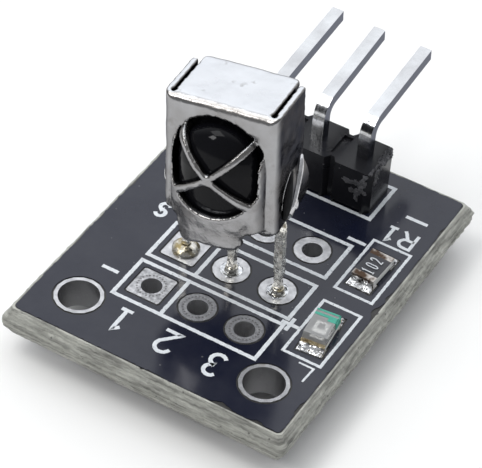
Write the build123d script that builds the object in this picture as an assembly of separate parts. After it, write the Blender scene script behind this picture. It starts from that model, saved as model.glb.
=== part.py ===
from build123d import *
import math
import os

# Infrared receiver module: a small board with a shielded receiver on long leads,
# a three-pin header bent over level, a chip resistor and a chip lamp.
# Millimetres. The origin is midway between the two mounting holes, on the
# underside of the board. X runs along the front edge, Y towards the header.

# Board
board_width = 15.0
board_length = 18.96
board_thickness = 1.6
board_front_margin = 2.64
board_corner_radius = 0.25
score_web = 0.45
score_inset_side = 0.33
score_inset_end = 0.36
score_lower_inset = 0.24
mask_thickness = 0.04
mask_clearance = 0.08

# Plated holes
pin_pitch = 2.54
pins_per_row = 3
hole_radius = 0.52
plating = 0.04
pad_radius = 0.91
pad_square = 1.8
pad_square_corner = 0.08
pad_sides = 16
land_thickness = 0.05
mounting_side_margin = 2.475
mounting_radius = 1.0
mounting_ring_radius = 1.2
header_row_back_margin = 2.71
header_to_rear_row = 4.78
rear_to_receiver_row = 3.34
receiver_to_front_row = 3.06

# Header block and pins
header_height = 2.6
header_depth = 2.5
header_end_right = 3.56
header_end_left = 3.62
header_notch_depth = 0.31
header_notch_mouth = 0.3
header_notch_floor = 0.1
header_end_chamfer = 0.3
header_pocket_width = 0.5
header_pocket_length = 1.5
header_pocket_depth = 0.14
header_foot_height = 0.2
header_foot_width = 0.8
pin_width = 0.62
pin_tail = 1.15
pin_rise = 4.6
pin_bend_radius = 0.55
pin_tip_chamfer = 0.16
pin_names = ("header_pin_left", "header_pin_middle", "header_pin_right")
pin_reaches = (6.15, 5.8, 5.95)
pin_tilts = (5.7, 7.6, 5.7)

# Receiver: its own frame has the middle lead at the underside of the epoxy
receiver_stand = 4.7
receiver_turn = 6.1
receiver_lean_back = 4.0
receiver_lean_left = 5.1
sheet = 0.3
sheet_gap = 0.03
can_cheek = 0.48
can_height = 6.3
can_front = 2.02
can_back = 1.05
can_fold_radius = 0.42
can_slot = 0.1
can_relief_radius = 0.15
can_roof_back = 1.72
can_roof_corner = 0.6
can_flap_drop = 1.3
bulge_radius = 2.3
bulge_depth = 1.15
dome_depth = 1.42
bulge_centre_z = 3.33
window_overlap = 0.05
window_side_margin = 0.18
window_corner = 0.45
bar_width = 0.27
bar_hub_drop = 0.23
bar_upper_angle = 45.3
bar_lower_angle = -37.1
skirt_drop = 0.62
skirt_side_margin = 0.8
skirt_left_dip = 0.24
skirt_notch_height = 0.3
skirt_corner = 0.25
spring_centre_z = 1.35
spring_half_height = 1.25
spring_length = 2.0
spring_straight = 1.0
spring_bow = 0.34
spring_shear = 0.03

# Receiver insides and leads
lens_gap = 0.05
lead_thickness = 0.36
lead_width = 0.4
lead_shoulder_width = 0.52
lead_shoulder_foot = 1.25
lead_plane = -0.13
lead_inner_x = 2.08
lead_inner_width = 0.44
lead_knee_drop = 0.5
lead_knee_draw = 0.06
lead_tail = 1.15
lead_inner_length = 1.1
lead_names = ("receiver_lead_signal", "receiver_lead_ground", "receiver_lead_supply")
paddle_width = 2.3
paddle_length = 2.4
paddle_start = 1.9
photodiode_size = (1.5, 0.25, 1.5)
amplifier_size = (0.9, 0.25, 0.75)
chip_gap = 0.1
photodiode_lift = 0.95

# Solder on the plated holes
solder_foot_radius = 0.82
solder_foot_height = 0.85
solder_neck = 0.08
solder_sag = 0.5
solder_well = 0.3
solder_collar_height = 0.3
solder_bead_radius = 0.72
solder_bead_height = 0.42
solder_bead_steps = 4

# Chip resistor, long side along Y
resistor_side_margin = 1.84
resistor_y = 9.14
resistor_turn = -2.0
resistor_length = 2.0
resistor_width = 1.2
resistor_thickness = 0.45
resistor_cap_length = 0.34
resistor_cap_wall = 0.04
resistor_coat_thickness = 0.04
resistor_land_length = 0.75

# Chip lamp, long side along Y
lamp_side_margin = 1.86
lamp_y = 4.14
lamp_turn = 6.0
lamp_length = 2.0
lamp_width = 1.22
lamp_base_thickness = 0.3
lamp_lens_length = 1.74
lamp_lens_height = 0.45
lamp_lens_draft = 0.04
lamp_cap_length = 0.36
lamp_cap_wall = 0.04
lamp_chip_size = 0.3
lamp_chip_height = 0.15
lamp_land_length = 0.75

# Both chips sit on lands a little wider than they are, in printed frames
land_width = 1.3
land_seat = 0.35
chip_solder_climb = 0.8


def slab(width, length, height, x=0.0, y=0.0, z=0.0):
    """A box by its middle in X and Y and its lower face in Z."""
    return Pos(x, y, z + height / 2) * Box(width, length, height)


def board_middle_y():
    return board_length / 2 - board_front_margin


def header_row_y():
    """The header row keeps its distance from the back edge."""
    return board_length - board_front_margin - header_row_back_margin


def rear_row_y():
    return header_row_y() - header_to_rear_row


def receiver_row_y():
    return rear_row_y() - rear_to_receiver_row


def front_row_y():
    return receiver_row_y() - receiver_to_front_row


def mounting_places():
    """Middles of the two mounting holes along X."""
    reach = board_width / 2 - mounting_side_margin
    return [-reach, reach]


def can_width():
    return 2 * (bulge_radius + can_cheek)


def disc(radius):
    """A circle's outline with few sides, for what repeats at every hole."""
    return RegularPolygon(radius, pad_sides)


def row_columns():
    """Places along X of the holes in one row, first hole at the left."""
    start = -pin_pitch * (pins_per_row - 1) / 2
    return [start + pin_pitch * index for index in range(pins_per_row)]


def plated_rows():
    return {
        "front_row_pads": front_row_y(),
        "receiver_row_pads": receiver_row_y(),
        "rear_row_pads": rear_row_y(),
        "header_row_pads": header_row_y(),
    }


def board_outline(inset_side, inset_end):
    """The board's outline, drawn in by an inset at the sides and at the ends."""
    return RectangleRounded(
        board_width - 2 * inset_side, board_length - 2 * inset_end, board_corner_radius
    )


def pad_outline(square, grow=0.0):
    """A round pad, or the square one that marks the first hole."""
    if square:
        outline = Rectangle(pad_square + 2 * grow, pad_square + 2 * grow)
        return chamfer(outline.vertices(), pad_square_corner)
    return disc(pad_radius + grow)


def land_places():
    """The flat pads under the two chips: pair's middle, turn, reach to each, length."""
    resistor_reach = resistor_length / 2 + resistor_land_length / 2 - land_seat
    lamp_reach = lamp_length / 2 + lamp_land_length / 2 - land_seat
    resistor_x = board_width / 2 - resistor_side_margin
    lamp_x = board_width / 2 - lamp_side_margin
    return {
        "resistor_lands": (resistor_x, resistor_y, resistor_turn, resistor_reach, resistor_land_length),
        "lamp_lands": (lamp_x, lamp_y, lamp_turn, lamp_reach, lamp_land_length),
    }


def land_pair(name, height, z, grow=0.0):
    """The two flat pads of one chip, or the openings that clear them."""
    x, y, turn, reach, length = land_places()[name]
    width = land_width + 2 * grow
    return [
        Pos(x, y, 0) * Rot(Z=turn) * slab(width, length + 2 * grow, height, y=side * reach, z=z)
        for side in (-1, 1)
    ]


def circuit_board():
    """Laminate with a scored and snapped edge, drilled for every plated hole."""
    middle = Pos(0, board_middle_y(), 0)
    web_low = (board_thickness - score_web) / 2
    web_high = web_low + score_web
    web = Pos(0, 0, web_low) * extrude(board_outline(0, 0), score_web)
    upper = loft([
        Pos(0, 0, web_high) * board_outline(0, 0),
        Pos(0, 0, board_thickness) * board_outline(score_inset_side, score_inset_end),
    ])
    lower = loft([
        board_outline(score_lower_inset, score_inset_end),
        Pos(0, 0, web_low) * board_outline(0, 0),
    ])
    board = middle * (web + upper + lower)
    drills = [
        Pos(x, y, 0) * extrude(disc(hole_radius + plating), board_thickness)
        for y in plated_rows().values()
        for x in row_columns()
    ]
    for x in mounting_places():
        drills.append(Pos(x, 0, 0) * extrude(Circle(mounting_radius + plating), board_thickness))
    return board - drills


def mask_openings(height, z):
    """What the lacquer leaves free: a little more than every ring and pad."""
    cuts = []
    for y in plated_rows().values():
        for index, x in enumerate(row_columns()):
            cuts.append(Pos(x, y, z) * extrude(pad_outline(index == 0, mask_clearance), height))
    for x in mounting_places():
        cuts.append(Pos(x, 0, z) * extrude(disc(mounting_ring_radius + mask_clearance), height))
    return cuts


def solder_mask_top():
    """Lacquer skin on the upper face, open round the pads and under the chips."""
    outline = board_outline(score_inset_side, score_inset_end)
    skin = Pos(0, board_middle_y(), board_thickness) * extrude(outline, mask_thickness)
    deep = 3 * mask_thickness
    low = board_thickness - mask_thickness
    cuts = mask_openings(deep, low)
    for name in land_places():
        cuts += land_pair(name, deep, low, mask_clearance)
    return skin - cuts


def solder_mask_bottom():
    """Lacquer skin on the underside."""
    outline = board_outline(score_lower_inset, score_inset_end)
    skin = Pos(0, board_middle_y(), -mask_thickness) * extrude(outline, mask_thickness)
    return skin - mask_openings(3 * mask_thickness, -2 * mask_thickness)


def plated_hole(ring, sleeve, bore):
    """A sleeve through the board with the same ring above and below it."""
    plate = extrude(ring, land_thickness)
    tube = extrude(sleeve, board_thickness)
    hole = Pos(0, 0, -land_thickness) * extrude(bore, board_thickness + 2 * land_thickness)
    return tube + Pos(0, 0, board_thickness) * plate + Pos(0, 0, -land_thickness) * plate - hole


def hole_row(y):
    """Three plated holes, the first with square rings."""
    sleeve = disc(hole_radius + plating)
    holes = [
        Pos(x, y, 0) * plated_hole(pad_outline(index == 0), sleeve, disc(hole_radius))
        for index, x in enumerate(row_columns())
    ]
    return Compound(children=holes)


def mounting_ring(x):
    ring = disc(mounting_ring_radius)
    sleeve = Circle(mounting_radius + plating)
    return Pos(x, 0, 0) * plated_hole(ring, sleeve, Circle(mounting_radius))


def header_seat():
    """Height of the header block's feet, which stand on the pads' rings."""
    return board_thickness + land_thickness


def header_block():
    """Moulded strip of three cells, notched between them, with feet and pockets."""
    half = header_depth / 2
    notch = half - header_notch_depth
    edges = [x + pin_pitch / 2 for x in row_columns()[:-1]]
    front = [(-header_end_left, -half + header_end_chamfer), (-header_end_left + header_end_chamfer, -half)]
    for x in edges:
        front += [
            (x - header_notch_mouth, -half),
            (x - header_notch_floor, -notch),
            (x + header_notch_floor, -notch),
            (x + header_notch_mouth, -half),
        ]
    front += [(header_end_right - header_end_chamfer, -half), (header_end_right, -half + header_end_chamfer)]
    outline = front + [(x, -y) for x, y in reversed(front)]
    block = extrude(make_face(Polyline(*outline, close=True)), header_height)
    for x in edges:
        block -= slab(
            header_pocket_width, header_pocket_length, header_pocket_depth,
            x=x, z=header_height - header_pocket_depth,
        )
    gaps = [-header_end_left] + edges + [header_end_right]
    for left, right in zip(gaps[:-1], gaps[1:]):
        middle = (left + right) / 2
        width = right - left - header_foot_width
        block -= slab(width, 2 * header_depth, header_foot_height, x=middle)
    for x in row_columns():
        block -= slab(pin_width, pin_width, header_height, x=x)
    return Pos(0, header_row_y(), header_seat()) * block


def header_pin(index):
    """Square wire: up through board and block, over a bend, out past the edge."""
    reach = pin_reaches[index]
    corner_z = board_thickness + pin_rise
    tip_z = corner_z + reach * math.tan(math.radians(pin_tilts[index]))
    bend = pin_bend_radius + pin_width / 2
    side_view = Plane(origin=(0, 0, 0), x_dir=(0, 1, 0), z_dir=(1, 0, 0))
    path = side_view * FilletPolyline((0, -pin_tail), (0, corner_z), (reach, tip_z), radius=bend)
    start = Plane(origin=path @ 0, x_dir=(1, 0, 0), z_dir=path % 0)
    pin = sweep(start * Rectangle(pin_width, pin_width), path=path)
    ends = pin.faces().sort_by(Axis.Y)[-1].edges() + pin.faces().sort_by(Axis.Z)[0].edges()
    return Pos(row_columns()[index], header_row_y(), 0) * chamfer(ends, pin_tip_chamfer)


def receiver_frame():
    """Where the receiver stands: over its row, turned and leaning on its leads."""
    turn = Rot(Y=-receiver_lean_left) * Rot(X=-receiver_lean_back) * Rot(Z=receiver_turn)
    return Pos(0, receiver_row_y(), board_thickness + receiver_stand) * turn


def half_ellipse(radius, depth):
    """Half an ellipse that reaches forward, drawn as two quarters."""
    right = EllipticalCenterArc((0, 0), radius, depth, start_angle=270, arc_size=90)
    left = EllipticalCenterArc((0, 0), radius, depth, start_angle=180, arc_size=90)
    return make_face([left, right, Line((radius, 0), (-radius, 0))])


def bullet(clear, low):
    """A rounded front: half a dome of revolution over a column that flattens downwards.

    It stands out of the can's front plane and is drawn in all over by a clearance.
    """
    radius = bulge_radius - clear
    depth = dome_depth - clear
    flattening = (dome_depth - bulge_depth) / bulge_centre_z
    low_depth = depth - flattening * (bulge_centre_z - low)
    arc = EllipticalCenterArc((0, 0), radius, depth, start_angle=270, arc_size=90)
    quarter = make_face([arc, Polyline((radius, 0), (0, 0), (0, -depth))])
    dome = revolve(quarter, Axis((0, 0, 0), (0, -1, 0)), 180)
    foot = Pos(0, 0, low - bulge_centre_z) * half_ellipse(radius, low_depth)
    column = loft([foot, half_ellipse(radius, depth)])
    return Pos(0, -can_front, bulge_centre_z) * (dome + column)


def skirt_outline():
    """Front view of what hangs below the can's side strips, with its round corners."""
    edge = bulge_radius - window_side_margin
    half = bulge_radius - skirt_side_margin
    low = -skirt_drop
    corner = skirt_corner
    points = [
        (-edge, bulge_centre_z),
        (-edge, skirt_notch_height),
        (-half - corner, skirt_notch_height),
        (-half, low - skirt_left_dip / 2),
        (-half + corner, low - skirt_left_dip),
        (-half + 4 * corner, low),
        (half - corner, low),
        (half, low + corner),
        (half, 0),
        (half + corner, skirt_notch_height),
        (edge, skirt_notch_height),
        (edge, bulge_centre_z),
    ]
    return make_face(Polyline(*points, close=True))


def front_view(face, depth):
    """A front-view outline run back from well ahead of the can's front plane."""
    plane = Plane(origin=(0, -can_front + sheet, 0), x_dir=(1, 0, 0), z_dir=(0, -1, 0))
    return extrude(plane * face, depth)


def window_outline():
    """The opening: a circle cut straight at both sides, its four corners rounded."""
    radius = bulge_radius + window_overlap
    half = bulge_radius - window_side_margin
    outline = Circle(radius) & Rectangle(2 * half, 4 * radius)
    return Pos(0, bulge_centre_z) * fillet(outline.vertices(), window_corner)


def grille_bars():
    """Four thin arms from a hub to the window's corners, in front view."""
    hub = Pos(0, bulge_centre_z - bar_hub_drop)
    length = bulge_radius + window_overlap + bar_hub_drop
    arms = [hub * Circle(bar_width)]
    for side in (-1, 1):
        for angle in (bar_upper_angle, bar_lower_angle):
            arm = Pos(side * length / 2, 0) * Rectangle(length, bar_width)
            arms.append(hub * Rot(Z=side * angle) * arm)
    return Sketch() + arms


def spring_outline(shear):
    """Side view of the lanced spring: a round front and a straight part behind it."""
    front = spring_length - spring_straight
    round_part = Pos(can_back - spring_straight, spring_centre_z) * Ellipse(
        front - shear, spring_half_height - shear
    )
    straight = Pos(can_back - spring_straight / 2, spring_centre_z) * Rectangle(
        spring_straight, 2 * spring_half_height
    )
    return round_part + straight


def side_springs(shell):
    """Shears a flap out of both side walls and bows it outwards, held above and below."""
    half = can_width() / 2
    depth = 4 * sheet
    top = spring_centre_z + spring_half_height
    low = spring_centre_z - spring_half_height
    outer = ThreePointArc((half, low), (half + spring_bow, spring_centre_z), (half, top))
    inner = ThreePointArc(
        (half - sheet, top), (half + spring_bow - sheet, spring_centre_z), (half - sheet, low)
    )
    band = make_face([outer, inner, Line(outer @ 1, inner @ 0), Line(inner @ 1, outer @ 0)])
    band = extrude(Plane.XZ * band, 2 * depth + spring_length, both=True)
    wall = Plane(origin=(half - depth, 0, 0), x_dir=(0, 1, 0), z_dir=(1, 0, 0))
    bow = band & extrude(wall * spring_outline(spring_shear), 2 * depth)
    cut = extrude(wall * spring_outline(0), 2 * depth)
    shell = shell - cut - mirror(cut, Plane.YZ)
    return shell + bow + mirror(bow, Plane.YZ)


def rounded_block(clear, radius, back):
    """The can's block drawn in by a clearance, its front and top edges rounded."""
    front = -can_front + clear
    block = slab(
        can_width() - 2 * clear, back - front, can_height - clear, y=(back + front) / 2
    )
    front_edges = block.edges().filter_by(Axis.Z).group_by(Axis.Y)[0]
    top_edge = block.edges().filter_by(Axis.X).group_by(Axis.Z)[-1].sort_by(Axis.Y)[0]
    return fillet(front_edges + [top_edge], radius)


def roof_flap():
    """The top panel's rear half: round corners, then folded down over the epoxy."""
    width = can_width() - 2 * (sheet + can_slot)
    low = can_height - can_flap_drop
    outer = slab(width, can_roof_back, can_flap_drop, y=can_roof_back / 2, z=low)
    fold = outer.edges().filter_by(Axis.X).group_by(Axis.Z)[-1].sort_by(Axis.Y)[-1]
    outer = fillet(fold, can_fold_radius)
    reach = can_roof_back - sheet
    inner = slab(2 * width, reach, can_flap_drop - sheet, y=reach / 2, z=low)
    inner_fold = inner.edges().filter_by(Axis.X).group_by(Axis.Z)[-1].sort_by(Axis.Y)[-1]
    inner = fillet(inner_fold, can_fold_radius - sheet)
    plan = extrude(Rectangle(width, 2 * can_roof_back), can_height)
    plan = fillet(plan.edges().filter_by(Axis.Z), can_roof_corner)
    return (outer - inner) & plan


def shield_can():
    """One folded sheet: front with bulge and cross, two sides, top and back flap."""
    inner_radius = can_fold_radius - sheet
    shell = rounded_block(0, can_fold_radius, can_back)
    shell -= rounded_block(sheet, inner_radius, can_back + sheet)
    slot_front = -can_front + can_fold_radius
    slot_length = can_back - slot_front + sheet
    for side in (-1, 1):
        slot_x = side * (can_width() / 2 - sheet - can_slot / 2)
        shell -= slab(
            can_slot, slot_length, 2 * sheet,
            x=slot_x, y=slot_front + slot_length / 2, z=can_height - sheet,
        )
        shell -= Pos(slot_x, slot_front, can_height) * Cylinder(can_relief_radius, 3 * sheet)
    shell += roof_flap()
    low = -2 * skirt_drop
    bulge_sheet = bullet(0, low) - bullet(sheet, low)
    reach = 2 * (dome_depth + sheet)
    open_column = Rectangle(2 * (bulge_radius - sheet), 2 * bulge_centre_z)
    open_dome = Pos(0, bulge_centre_z) * Circle(bulge_radius - sheet)
    opening = front_view(open_column + open_dome, reach)
    bars = front_view(grille_bars(), reach)
    window = front_view(window_outline(), reach)
    flat_bars = (bars & shell) - opening
    skirt = front_view(skirt_outline(), reach)
    rim_height = bulge_centre_z + 2 * bulge_radius - skirt_notch_height
    rims = slab(2 * can_width(), 2 * reach, rim_height, y=-can_front, z=skirt_notch_height)
    kept = (bulge_sheet & (skirt + rims)) - window
    shell = shell - opening - window
    return side_springs(shell + flat_bars + kept + (bulge_sheet & bars))


def lead_section(width):
    return Rectangle(width, lead_thickness)


def receiver_lead(index):
    """Stamped lead: thin in the hole, wider above, then over a knee into the epoxy."""
    x = row_columns()[index]
    side = (x > 0) - (x < 0)
    foot = Pos(x, receiver_row_y(), 0)
    shoulder = board_thickness + lead_shoulder_foot
    thin = slab(lead_width, lead_thickness, shoulder + lead_tail, z=-lead_tail)
    entry = receiver_frame() * Pos(side * lead_inner_x, lead_plane, 0)
    knee_z = board_thickness + receiver_stand - lead_knee_drop
    knee = Pos(x - side * lead_knee_draw, receiver_row_y() + lead_plane, knee_z)
    wide = loft([
        foot * Pos(0, 0, shoulder) * lead_section(lead_shoulder_width),
        knee * lead_section(lead_shoulder_width),
    ])
    bend = loft([
        knee * lead_section(lead_shoulder_width),
        entry * lead_section(lead_inner_width),
    ])
    inner = entry * extrude(lead_section(lead_inner_width), lead_inner_length)
    lead = foot * thin + wide + bend + inner
    if side == 0:
        lead += receiver_frame() * paddle()
    return lead


def paddle():
    """The ground lead's plate that carries both chips, with its neck."""
    plate = slab(paddle_width, lead_thickness, paddle_length, y=lead_plane, z=paddle_start)
    neck = slab(
        lead_inner_width, lead_thickness, paddle_start - lead_inner_length,
        y=lead_plane, z=lead_inner_length,
    )
    return plate + neck


def chip_seat():
    """Front face of the paddle, where the chips are bonded."""
    return lead_plane - lead_thickness / 2


def photodiode_chip():
    width, thickness, height = photodiode_size
    low = paddle_start + photodiode_lift
    return receiver_frame() * slab(width, thickness, height, y=chip_seat() - thickness / 2, z=low)


def amplifier_chip():
    width, thickness, height = amplifier_size
    top = paddle_start + photodiode_lift - chip_gap
    return receiver_frame() * slab(
        width, thickness, height, y=chip_seat() - thickness / 2, z=top - height
    )


def receiver_body():
    """Black epoxy block with its lens, filling the can and closed round the leads."""
    back = can_roof_back - sheet - sheet_gap
    fold = can_fold_radius - sheet
    block = rounded_block(sheet + sheet_gap, fold, back)
    block = fillet(block.edges().filter_by(Axis.X).group_by(Axis.Z)[-1].sort_by(Axis.Y)[-1], fold)
    radius = bulge_radius - sheet - lens_gap
    lens = bullet(sheet + lens_gap, 0)
    seat_outline = Rectangle(2 * radius, 2 * bulge_centre_z)
    seat_outline += Pos(0, bulge_centre_z) * Circle(radius)
    seat = front_view(seat_outline, sheet) & slab(4 * radius, 4 * sheet, 3 * radius, y=-can_front)
    seat = Pos(0, sheet_gap, 0) * seat + seat
    body = receiver_frame() * (block + seat + lens)
    for index in range(pins_per_row):
        body -= receiver_lead(index)
    return body - photodiode_chip() - amplifier_chip()


def sagged(rim, climb):
    """Middle of a hollow solder line, between its rim on the pad and where it climbs."""
    middle = ((rim[0] + climb[0]) / 2, (rim[1] + climb[1]) / 2)
    return (
        middle[0] + solder_sag * (climb[0] - middle[0]),
        middle[1] + solder_sag * (rim[1] - middle[1]),
    )


def turned_solder(profile):
    """Solder round a wire, from the radius and height of each of its rings."""
    rings = [Pos(0, 0, z) * disc(radius) for radius, z in profile]
    return loft(rings, ruled=True)


def foot_cone(x, y, wire):
    """Solder cone on the underside, around one wire, filling the sleeve above it."""
    rim = (solder_foot_radius, -land_thickness)
    tip = (math.hypot(wire, wire) / 2 + solder_neck, -land_thickness - solder_foot_height)
    cone = turned_solder([tip, sagged(rim, tip), rim])
    fill_top = board_thickness - solder_well
    fill = turned_solder([(hole_radius, -land_thickness), (hole_radius, fill_top)])
    return Pos(x, y, 0) * (cone + fill)


def collar(x, y, wire):
    """The upper meniscus that climbs a lead out of its hole."""
    rim = (hole_radius, board_thickness - solder_well)
    climb = (math.hypot(wire, wire) / 2 + solder_neck / 2, board_thickness + solder_collar_height)
    return Pos(x, y, 0) * turned_solder([rim, sagged(rim, climb), climb])


def bead(x, y):
    """The fuller joint on the square pad: a low dome over the hole."""
    low = board_thickness + land_thickness
    rings = []
    for step in range(solder_bead_steps):
        angle = math.pi / 2 * step / solder_bead_steps
        rings.append((solder_bead_radius * math.cos(angle), low + solder_bead_height * math.sin(angle)))
    plug = turned_solder([(hole_radius, board_thickness - solder_well), (hole_radius, low)])
    return Pos(x, y, 0) * (turned_solder(rings) + plug)


def header_joints():
    """Three joints under the header row, filled up to the block."""
    joints = []
    for index, x in enumerate(row_columns()):
        joint = foot_cone(x, header_row_y(), pin_width)
        joints.append(joint - header_pin(index))
    return Compound(children=joints)


def receiver_joints():
    """Three joints on the receiver's leads, the first with the fuller bead on top."""
    y = receiver_row_y()
    joints = []
    for index, x in enumerate(row_columns()):
        upper = bead(x, y) if index == 0 else collar(x, y, lead_width)
        joint = foot_cone(x, y, lead_width) + upper
        joints.append(joint - receiver_lead(index))
    return Compound(children=joints)


def chip_floor():
    """Height of the lands, on which both chips stand."""
    return board_thickness + land_thickness


def end_caps(length, width, thickness, cap_length, wall):
    """Two thin metal caps, each folded round one end of a chip's core."""
    caps = []
    for side in (-1, 1):
        cap = slab(width, cap_length, thickness, y=side * (length - cap_length) / 2)
        hollow = slab(
            width + 2 * wall, cap_length, thickness - 2 * wall,
            y=side * ((length - cap_length) / 2 - wall), z=wall,
        )
        caps.append(cap - hollow)
    return Compound(children=caps)


def solder_wedge(width, run, climb, side, start):
    """Concave fillet from a chip's end face down to its land."""
    hollow = sagged((run, 0), (0, climb))
    outline = make_face(Polyline((run, 0), hollow, (0, climb), (0, 0), close=True))
    plane = Plane(origin=(0, side * start, 0), x_dir=(0, side, 0), z_dir=(side, 0, 0))
    return extrude(plane * outline, width / 2, both=True)


def chip_solder(length, height, land_length):
    run = land_length - land_seat
    wedges = [
        solder_wedge(land_width - mask_clearance, run, chip_solder_climb * height, side, length / 2)
        for side in (-1, 1)
    ]
    return Compound(children=wedges)


def at_resistor(shape):
    x, y, turn = land_places()["resistor_lands"][:3]
    return Pos(x, y, chip_floor()) * Rot(Z=turn) * shape


def at_lamp(shape):
    x, y, turn = land_places()["lamp_lands"][:3]
    return Pos(x, y, chip_floor()) * Rot(Z=turn) * shape


def resistor_core():
    wall = resistor_cap_wall
    core = slab(
        resistor_width, resistor_length - 2 * wall, resistor_thickness - 2 * wall, z=wall
    )
    return at_resistor(core)


def resistor_coat():
    """Black glaze between the caps, on the core's upper face."""
    length = resistor_length - 2 * resistor_cap_length
    return at_resistor(slab(
        resistor_width, length, resistor_coat_thickness, z=resistor_thickness - resistor_cap_wall
    ))


def resistor_caps():
    return at_resistor(end_caps(
        resistor_length, resistor_width, resistor_thickness, resistor_cap_length, resistor_cap_wall
    ))


def lamp_base():
    wall = lamp_cap_wall
    base = slab(lamp_width, lamp_length - 2 * wall, lamp_base_thickness - 2 * wall, z=wall)
    return at_lamp(base)


def lamp_caps():
    return at_lamp(end_caps(
        lamp_length, lamp_width, lamp_base_thickness, lamp_cap_length, lamp_cap_wall
    ))


def lamp_chip():
    low = lamp_base_thickness - lamp_cap_wall
    return at_lamp(slab(lamp_chip_size, lamp_chip_size, lamp_chip_height, z=low))


def lamp_lens():
    """Clear block moulded over the base, its sides drawn in towards the top."""
    foot = Rectangle(lamp_width, lamp_lens_length)
    top = Rectangle(lamp_width - 2 * lamp_lens_draft, lamp_lens_length - 2 * lamp_lens_draft)
    block = loft([foot, Pos(0, 0, lamp_lens_height) * top])
    low = lamp_base_thickness - lamp_cap_wall
    lens = at_lamp(Pos(0, 0, low) * block)
    return lens - lamp_chip() - lamp_caps()


def sub_parts():
    parts = {
        "circuit_board": circuit_board(),
        "solder_mask_top": solder_mask_top(),
        "solder_mask_bottom": solder_mask_bottom(),
        "mounting_ring_left": mounting_ring(mounting_places()[0]),
        "mounting_ring_right": mounting_ring(mounting_places()[1]),
    }
    for name, y in plated_rows().items():
        parts[name] = hole_row(y)
    for name in land_places():
        parts[name] = Compound(children=land_pair(name, land_thickness, board_thickness))
    parts["header_block"] = header_block()
    for index, name in enumerate(pin_names):
        parts[name] = header_pin(index)
    parts["header_joints"] = header_joints()
    parts["shield_can"] = receiver_frame() * shield_can()
    parts["receiver_body"] = receiver_body()
    for index, name in enumerate(lead_names):
        parts[name] = receiver_lead(index)
    parts["photodiode_chip"] = photodiode_chip()
    parts["amplifier_chip"] = amplifier_chip()
    parts["receiver_joints"] = receiver_joints()
    parts["resistor_core"] = resistor_core()
    parts["resistor_coat"] = resistor_coat()
    parts["resistor_caps"] = resistor_caps()
    parts["resistor_solder"] = at_resistor(
        chip_solder(resistor_length, resistor_thickness, resistor_land_length)
    )
    parts["lamp_base"] = lamp_base()
    parts["lamp_lens"] = lamp_lens()
    parts["lamp_chip"] = lamp_chip()
    parts["lamp_caps"] = lamp_caps()
    parts["lamp_solder"] = at_lamp(chip_solder(lamp_length, lamp_base_thickness, lamp_land_length))
    return parts


os.makedirs("parts", exist_ok=True)
for part_name, shape in sub_parts().items():
    export_step(shape, "parts/" + part_name + ".step")
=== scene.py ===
"""Looks of the infrared receiver module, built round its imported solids.

The board lies level with its component side up, X along its front edge and Y
towards the header. Sizes below are in millimetres and become metres in mm().
"""

import logging
import math
from dataclasses import dataclass, replace
from enum import Enum
from functools import cached_property
from typing import Iterable, Sequence

import bmesh
import bpy
from mathutils import Matrix, Vector, noise


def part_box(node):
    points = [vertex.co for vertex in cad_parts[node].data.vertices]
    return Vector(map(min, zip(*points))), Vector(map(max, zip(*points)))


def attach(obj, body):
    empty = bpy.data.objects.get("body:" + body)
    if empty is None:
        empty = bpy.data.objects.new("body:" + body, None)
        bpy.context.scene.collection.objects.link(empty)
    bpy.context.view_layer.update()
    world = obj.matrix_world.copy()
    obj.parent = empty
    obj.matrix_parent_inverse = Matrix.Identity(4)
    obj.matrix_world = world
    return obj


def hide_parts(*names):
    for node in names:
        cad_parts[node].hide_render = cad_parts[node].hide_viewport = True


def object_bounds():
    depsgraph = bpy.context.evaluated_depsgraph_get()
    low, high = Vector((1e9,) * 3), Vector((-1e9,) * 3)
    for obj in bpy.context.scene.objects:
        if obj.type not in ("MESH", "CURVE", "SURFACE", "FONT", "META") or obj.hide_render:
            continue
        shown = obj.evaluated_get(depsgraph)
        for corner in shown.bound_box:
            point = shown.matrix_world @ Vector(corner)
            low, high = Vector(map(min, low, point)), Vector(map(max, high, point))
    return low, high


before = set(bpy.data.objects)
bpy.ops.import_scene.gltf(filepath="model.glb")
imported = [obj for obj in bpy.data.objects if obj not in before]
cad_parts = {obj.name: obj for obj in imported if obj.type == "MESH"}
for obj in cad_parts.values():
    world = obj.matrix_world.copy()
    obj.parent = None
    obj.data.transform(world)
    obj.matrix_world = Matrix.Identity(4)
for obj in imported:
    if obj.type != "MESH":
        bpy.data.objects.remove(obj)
cad_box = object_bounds()

log = logging.getLogger("receiver_module")

Colour = tuple[float, float, float]
Point = tuple[float, float]
Triple = tuple[float, float, float]
Sides = tuple[float, float, float, float]

BODY = "root"
PITCH = 2.54


def mm(*values: float) -> Vector | float:
    """Turns millimetres into metres.

    Args:
        values: one length, or the coordinates of a point.

    Returns:
        A float for one value, otherwise a Vector.
    """
    if len(values) == 1:
        return values[0] * 0.001
    return Vector(value * 0.001 for value in values)


def receiver_turn() -> Matrix:
    """Turn of the receiver on its bent leads.

    Returns:
        A matrix whose columns are the receiver's side, depth and upright axes.
    """
    lean_left = Matrix.Rotation(math.radians(-5.1), 3, "Y")
    lean_back = Matrix.Rotation(math.radians(-4.0), 3, "X")
    return lean_left @ lean_back @ Matrix.Rotation(math.radians(6.1), 3, "Z")


# Shader building


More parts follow.
